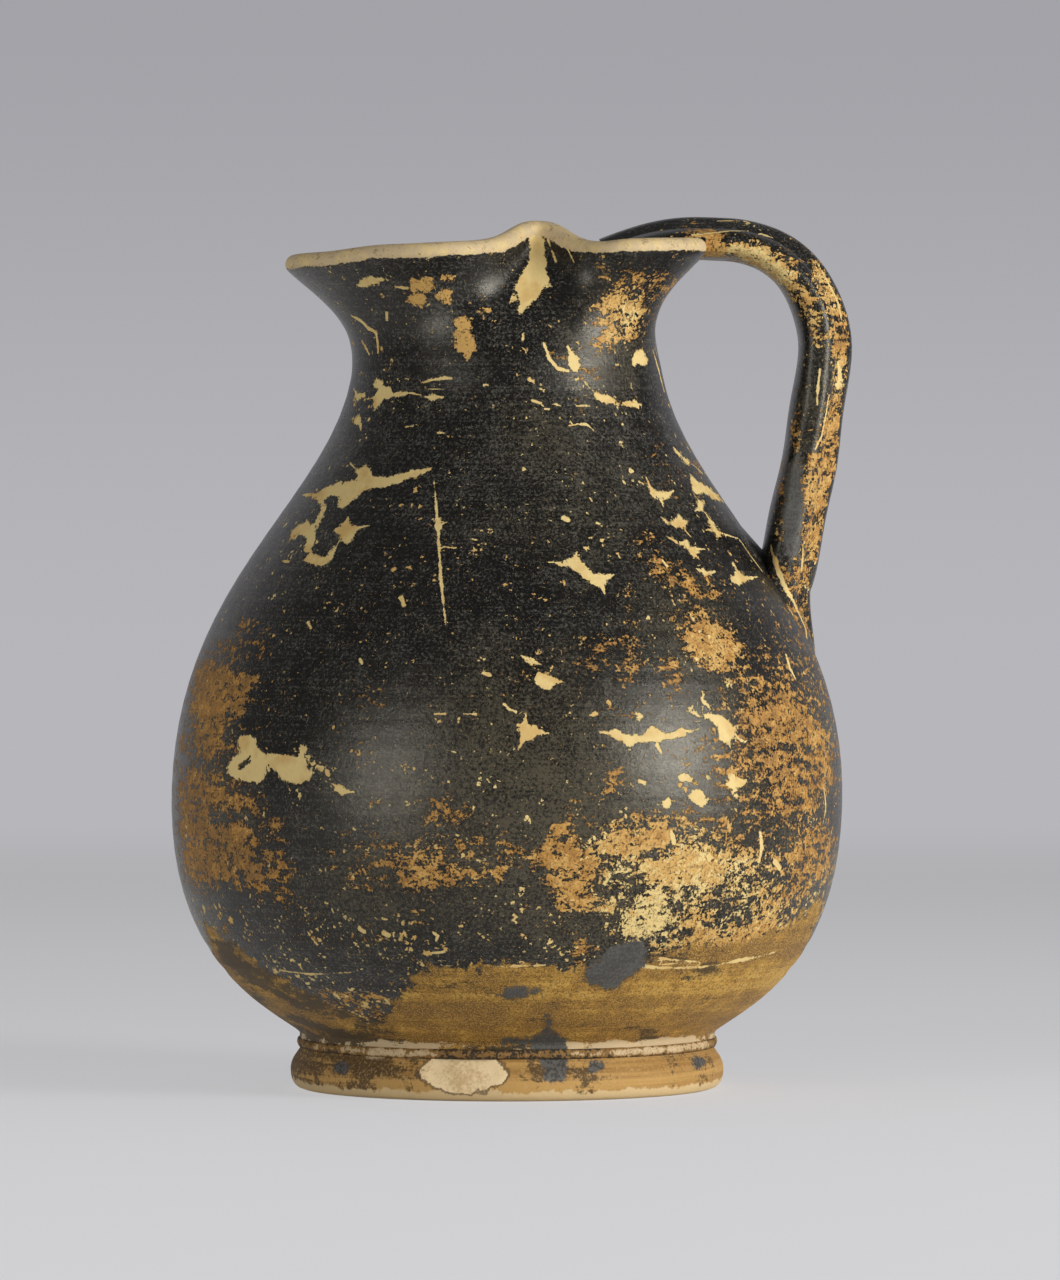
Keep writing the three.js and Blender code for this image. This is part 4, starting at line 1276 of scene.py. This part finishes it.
class JUG_OT_foot(bpy.types.Operator):
    """Makes the ring foot and the slip that lutes it to the body"""

    bl_idname = "jug.foot"
    bl_label = "Foot"

    def execute(self, context):
        shape, colours = context.scene.jug_shape, context.scene.jug_finish
        self.make_ring(shape, colours)
        self.make_slip(shape, colours)
        return {"FINISHED"}

    def make_ring(self, shape, colours):
        """A closed profile carried round the axis: resting edge, swelling side, hollow under the
        joint, seat and sloping inner face. The chip is a shallow dent in the side."""
        top = FOOT_BOX[1].z
        reach = FOOT_BOX[1].x
        side = bezier([(0.0496, 0.0002), (0.0512, 0.0004), (reach, 0.0024), (reach, 0.0044)], 10)
        joint = shape.waist_radius - 0.0003
        hollow = bezier([(reach, 0.0044), (reach, 0.0073), (0.0496, 0.0085), (joint, top)], 12)
        seat = np.array([
            (0.045, top), (0.039, top), (0.0415, 0.005),
            (0.0441, 0.0), (0.0468, 0.0), (0.0494, 0.0)])
        profile = np.concatenate([side, hollow[1:], seat])
        profile = spaced(np.concatenate([profile, profile[:1]]), np.linspace(0, 1, 61)[:-1])
        angles = front_angles(320, 0.45)
        angle, radius = np.meshgrid(angles, profile[:, 0])
        height = np.repeat(profile[:, 1:2], len(angles), axis=1)
        outside = ramp(radius, 0.0475, 0.0495) * ramp(height, 0.0, 0.001)
        radius = radius + outside * (0.00018 * np.sin(3 * angle) + 0.00008 * np.sin(11 * angle))
        grid = turned(radius, angle, height)
        x, y = pixel_of(grid.reshape(-1, 3))
        px, py, half_width, half_height = FOOT_CHIP
        oval = 1 - np.hypot((x - px) / half_width, (y - py) / half_height).reshape(radius.shape)
        chip = np.where(grid[..., 1] < 0, np.clip(0.5 + 0.9 * oval, 0, 1), 0)
        grid[..., :2] *= (1 - 0.008 * ramp(chip, 0.5, 0.8) * outside)[..., None]
        piece = add_loop("ring_foot", grid)
        keep_number(piece, "chip", chip.ravel())
        keep_number(piece, "slate", shape_field(x, y, SLATE_SHAPES) * MM_PER_PIXEL)
        keep_number(piece, "clean", cloud_field(x, y, CLEAN_SLIP))
        finish_piece(piece, "foot_ring", clay_finish("foot clay", colours))

    def make_slip(self, shape, colours):
        """A flat ring of slip with a lumpy bead where it was squeezed out of the joint."""
        low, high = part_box("foot_slip")[0].z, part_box("foot_slip")[1].z
        bead = shape.waist_radius + 0.0003
        turn = np.linspace(-0.5 * np.pi, 0.75 * np.pi, 9)
        middle = (low + high) / 2
        nose = np.stack([
            bead - 0.0004 + 0.0008 * np.cos(turn), middle - 0.0003 + 0.0012 * np.sin(turn)], axis=1)
        roof = high - 0.0006
        profile = np.concatenate([[(0.040, roof), (0.040, low)], nose, [(bead - 0.0006, roof)]])
        angles = np.linspace(0, 2 * np.pi, 288, endpoint=False)
        angle, radius = np.meshgrid(angles, profile[:, 0])
        height = np.repeat(profile[:, 1:2], len(angles), axis=1)
        lumps = 0.00016 * np.sin(17 * angle + 2 * np.sin(5 * angle)) + 0.0001 * np.sin(41 * angle)
        radius = radius + np.where(radius > bead - 0.0003, lumps, 0)
        piece = add_loop("joint_slip", turned(radius, angle, height))
        keep_number(piece, "clean", cloud_field(*pixel_of(vertices_of(piece)), CLEAN_SLIP))
        finish_piece(piece, "foot_slip", slip_finish("joint slip", colours))


def strap_path(shape, stations):
    """The strap's middle line as x and z at the given shares of its length: the tongue in the
    mouth, the bend over the top, the fall, and the root that sinks into the shoulder's wall."""
    profile = body_profile(shape, 400)
    top, crest = shape.lip_height + 0.0068, shape.lip_radius + 0.0046
    reach, tongue = shape.handle_reach, shape.lip_radius - 0.0236
    root = np.interp(ROOT_HEIGHT, profile[:, 1], profile[:, 0]) + 0.0014
    end = np.interp(ROOT_END, profile[:, 1], profile[:, 0]) - 0.0073
    drop = REACH_HEIGHT - ROOT_HEIGHT
    slant, tail = 0.004 / (0.25 * drop), (ROOT_HEIGHT - ROOT_END) / 5
    line = np.concatenate([
        bezier([
            (tongue, top - 0.0045), (tongue + 0.0085, top - 0.0006),
            (crest - 0.015, top), (crest, top)], 40),
        bezier([
            (crest, top), (crest + 0.45 * (reach - crest), top),
            (reach, REACH_HEIGHT + 0.63 * (top - REACH_HEIGHT)), (reach, REACH_HEIGHT)], 60)[1:],
        bezier([
            (reach, REACH_HEIGHT), (reach, REACH_HEIGHT - 0.15 * drop),
            (root + 0.004, ROOT_HEIGHT + 0.25 * drop), (root, ROOT_HEIGHT)], 60)[1:],
        bezier([
            (root, ROOT_HEIGHT), (root - slant * tail, ROOT_HEIGHT - tail),
            (end + 0.0018, ROOT_END + 0.0075), (end, ROOT_END)], 40)[1:]])
    return spaced(line, stations)


def rounded(value):
    """A sine or cosine drawn out to an oblong with round corners: its size to the power 0.72."""
    return np.sign(value) * np.abs(value) ** 0.72


def strap_grid(shape, rows, columns):
    """The ribbed strap: an oblong section carried along its path. Its width and thickness change
    along the way, its outer face has a raised middle rib between two grooves and rolled edges, and
    below the shoulder it sinks only a little way into the body's wall."""
    share = np.linspace(0, 1, rows)
    line = strap_path(shape, share)
    along = np.gradient(line, axis=0)
    along /= np.linalg.norm(along, axis=1, keepdims=True)
    outward = np.stack([-along[:, 1], along[:, 0]], axis=1)
    stations = [0, 0.1925, 0.45, 0.83, 1]
    half_width = eased(share, stations, [17.0, 12.5, 11.5, 14.5, 5.8]) * MM
    half_thick = eased(share, stations, [3.7, 3.95, 4.9, 5.4, 3.3]) * MM
    rib = eased(share, stations, [2.3, 2.4, 3.0, 3.0, 2.0]) * MM
    turn = np.linspace(0, 2 * np.pi, columns, endpoint=False)
    across = rounded(np.cos(turn))[None] * half_width[:, None]
    outer_face = ramp(np.sin(turn), 0.0, 0.4)[None]
    middle = bell(across / 0.0037, 2.4) * rib[:, None]
    grooves = -0.0006 * (bell((across - 0.0062) / 0.0014) + bell((across + 0.0062) / 0.0014))
    out = rounded(np.sin(turn))[None] * half_thick[:, None]
    out = out + outer_face * (middle + grooves) - rib[:, None] / 2
    hand = 0.00022 * np.sin(37 * share)[:, None] * np.cos(2 * turn)[None]
    x = line[:, 0:1] + outward[:, 0:1] * (out + hand)
    z = line[:, 1:2] + outward[:, 1:2] * (out + hand)
    return sunk_grid(shape, np.stack([x, across, z], axis=-1))


def sunk_grid(shape, grid):
    """Moves what lies deeper than SUNK_DEPTH in the shoulder's wall out to that depth."""
    profile = body_profile(shape, 400)
    radius = np.hypot(grid[..., 0], grid[..., 1])
    wall = np.interp(grid[..., 2], profile[:, 1], profile[:, 0]) - SUNK_DEPTH
    low = grid[..., 2] < SHOULDER_TOP
    factor = np.where(low & (radius < wall), wall / radius, 1.0)
    moved = grid.copy()
    moved[..., :2] *= factor[..., None]
    return moved


class JUG_OT_handle(bpy.types.Operator):
    """Makes the ribbed strap handle"""

    bl_idname = "jug.handle"
    bl_label = "Handle"

    def execute(self, context):
        shape, colours = context.scene.jug_shape, context.scene.jug_finish
        piece = add_capped("strap_handle", strap_grid(shape, 300, 120))
        material = gloss_finish("handle gloss", colours)
        finish_handle_piece(piece, "handle", material)
        return {"FINISHED"}


class JUG_OT_clay(bpy.types.Operator):
    """Makes the clay pressed under the handle's tongue and round its root"""

    bl_idname = "jug.clay"
    bl_label = "Luting clay"

    def execute(self, context):
        shape, colours = context.scene.jug_shape, context.scene.jug_finish
        self.make_root(shape, colours)
        self.make_wad(colours)
        return {"FINISHED"}

    def make_root(self, shape, colours):
        """A low mound on the shoulder: the body's own surface, raised by a bell that falls to
        nothing at an oval edge round the strap's root, and a flat back inside the wall."""
        profile = body_profile(shape, 400)
        centre_height, half_height, half_width = 0.1185, 0.0185, 0.0175
        reach = np.linspace(0, 1, 28)[:, None]
        turn = np.linspace(0, 2 * np.pi, 144, endpoint=False)[None]
        height = centre_height + half_height * reach * np.sin(turn)
        across = half_width * reach * np.cos(turn)
        wall = np.interp(height, profile[:, 1], profile[:, 0])
        raised = 0.0026 * (1 - reach ** 2) ** 1.5
        outer = turned(wall + raised - 0.0003, across / wall, height)
        inner = turned(wall - 0.0012, across / wall, height)
        piece = add_capped("root_clay", np.concatenate([outer, inner[::-1]])[:, ::-1])
        material = gloss_finish("root clay", colours)
        finish_handle_piece(piece, "handle_root_clay", material)

    def make_wad(self, colours):
        """An oval wad that fills the box of its solid under the tongue, flattened a little."""
        low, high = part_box("handle_rim_clay")
        centre = np.array((low + high) / 2)
        half = np.array((high - low) / 2)
        climb = np.linspace(-np.pi / 2, np.pi / 2, 40)[1:-1, None]
        turn = np.linspace(0, 2 * np.pi, 80, endpoint=False)[None]
        lump = 1 + 0.03 * np.sin(3 * turn + 4 * climb)
        unit = np.stack([
            np.cos(climb) * np.cos(turn) * lump, np.cos(climb) * np.sin(turn) * lump,
            np.sin(climb) + 0 * turn], axis=-1)
        piece = add_capped("rim_clay", centre + unit * half * np.array([0.97, 0.96, 0.99]))
        material = gloss_finish("rim clay", colours)
        finish_handle_piece(piece, "handle_rim_clay", material)


def facing(way):
    """The turn that points a light or a camera, which look down their own -Z, along way."""
    return way.to_track_quat("-Z", "Y").to_euler()


class JUG_OT_stage(bpy.types.Operator):
    """Makes the floor, the backdrop, the lights and the camera"""

    bl_idname = "jug.stage"
    bl_label = "Stage"

    def execute(self, context):
        stage = context.scene.jug_stage
        self.make_cove(stage)
        self.make_light("right_light", stage.right_light, *RIGHT_LIGHT)
        self.make_light("left_light", stage.left_light, *LEFT_LIGHT)
        world = bpy.data.worlds.new("studio")
        context.scene.world = world
        world.use_nodes = True
        background = world.node_tree.nodes["Background"]
        background.inputs["Color"].default_value = SKY_COLOUR
        background.inputs["Strength"].default_value = stage.sky
        self.make_camera(context)
        context.scene.view_settings.view_transform = "Standard"
        return {"FINISHED"}

    def make_cove(self, stage):
        """A floor that sweeps up into a backdrop: one profile carried sideways. The camera sees
        its glow, which takes over from the lit floor with distance; the light sees matt paint."""
        near, far, radius, wall, half_width = -8.0, 3.0, 1.2, 3.5, 8.0
        turn = np.linspace(0, np.pi / 2, 24)
        bend = np.stack([far + radius * np.sin(turn), radius - radius * np.cos(turn)], axis=1)
        profile = np.concatenate([[(near, 0.0), (0.0, 0.0)], bend, [(far + radius, wall)]])
        left = np.stack([np.full(len(profile), -half_width), profile[:, 0], profile[:, 1]], axis=1)
        right = left * np.array([-1, 1, 1])
        count = len(profile)
        faces = [[i, count + i, count + i + 1, i + 1] for i in range(count - 1)]
        cove = add_mesh("cove", np.concatenate([left, right]), faces)
        make = Finish("cove paint")
        depth, height = make.along("Y"), make.along("Z")
        paint = {"Base Color": (*stage.floor, 1.0), "Roughness": 0.8}
        matt = make.node("ShaderNodeBsdfPrincipled", {}, paint, "BSDF")
        glow = make.mix(depth.above(0.4, 0.7), stage.near_glow, stage.dip_glow)
        glow = make.mix(depth.above(1.35, 0.25), glow, stage.backdrop)
        glow = make.mix(height.above(0.25, 0.25), glow, stage.backdrop_top)
        bright = make.node(
            "ShaderNodeBsdfPrincipled", {},
            {"Base Color": (0.0, 0.0, 0.0, 1.0), "Specular IOR Level": 0.0, "Emission Color": glow,
             "Emission Strength": 1.0}, "BSDF")
        rays = make.node("ShaderNodeLightPath", {}, {}, "Is Camera Ray")
        rays = rays.most(make.node("ShaderNodeLightPath", {}, {}, "Is Glossy Ray"))
        rays = rays.most(make.node("ShaderNodeLightPath", {}, {}, "Is Transmission Ray"))
        share = rays * (depth.above(0.6, 0.5) * (1.0 - NEAR_SHARE) + NEAR_SHARE)
        make.out(make.node("ShaderNodeMixShader", {}, {0: share, 1: matt, 2: bright}, "Shader"))
        cove.data.materials.append(make.material)

    def make_light(self, name, power, place, width, height):
        """A large soft panel that faces the jug."""
        light = bpy.data.lights.new(name, "AREA")
        light.shape = "RECTANGLE"
        light.size, light.size_y, light.energy = width, height, power
        lamp = bpy.data.objects.new(name, light)
        lamp.location = place
        lamp.rotation_euler = facing(Vector(LIT_SPOT) - Vector(place))
        bpy.context.scene.collection.objects.link(lamp)

    def make_camera(self, context):
        """The photograph's camera: its distance and height, aimed at the middle of the frame."""
        camera = bpy.data.cameras.new("photo_camera")
        camera.sensor_width = SENSOR
        camera.lens = FOCAL_PIXELS * SENSOR / PHOTO_HEIGHT
        eye = bpy.data.objects.new("photo_camera", camera)
        eye.location = EYE
        eye.rotation_euler = facing(Vector(AIM - EYE))
        context.scene.collection.objects.link(eye)
        context.scene.camera = eye


class JUG_PT_panel(bpy.types.Panel):
    """The jug's pieces, sizes and colours"""

    bl_label = "Trefoil oinochoe"
    bl_idname = "JUG_PT_panel"
    bl_space_type = "VIEW_3D"
    bl_region_type = "UI"
    bl_category = "Jug"

    def draw(self, context):
        for operator in OPERATORS:
            self.layout.operator(operator.bl_idname)
        for group in (context.scene.jug_shape, context.scene.jug_finish, context.scene.jug_stage):
            box = self.layout.box()
            for name in group.__annotations__:
                box.prop(group, name)


GROUPS = (JugShape, JugFinish, JugStage)
OPERATORS = (JUG_OT_body, JUG_OT_foot, JUG_OT_handle, JUG_OT_clay, JUG_OT_stage)


def register():
    for part in (*GROUPS, *OPERATORS, JUG_PT_panel):
        bpy.utils.register_class(part)
    bpy.types.Scene.jug_shape = PointerProperty(type=JugShape)
    bpy.types.Scene.jug_finish = PointerProperty(type=JugFinish)
    bpy.types.Scene.jug_stage = PointerProperty(type=JugStage)


def unregister():
    del bpy.types.Scene.jug_stage, bpy.types.Scene.jug_finish, bpy.types.Scene.jug_shape
    for part in reversed((*GROUPS, *OPERATORS, JUG_PT_panel)):
        bpy.utils.unregister_class(part)


def main():
    register()
    bpy.ops.jug.body()
    bpy.ops.jug.foot()
    bpy.ops.jug.handle()
    bpy.ops.jug.clay()
    bpy.ops.jug.stage()


if __name__ == "__main__":
    main()
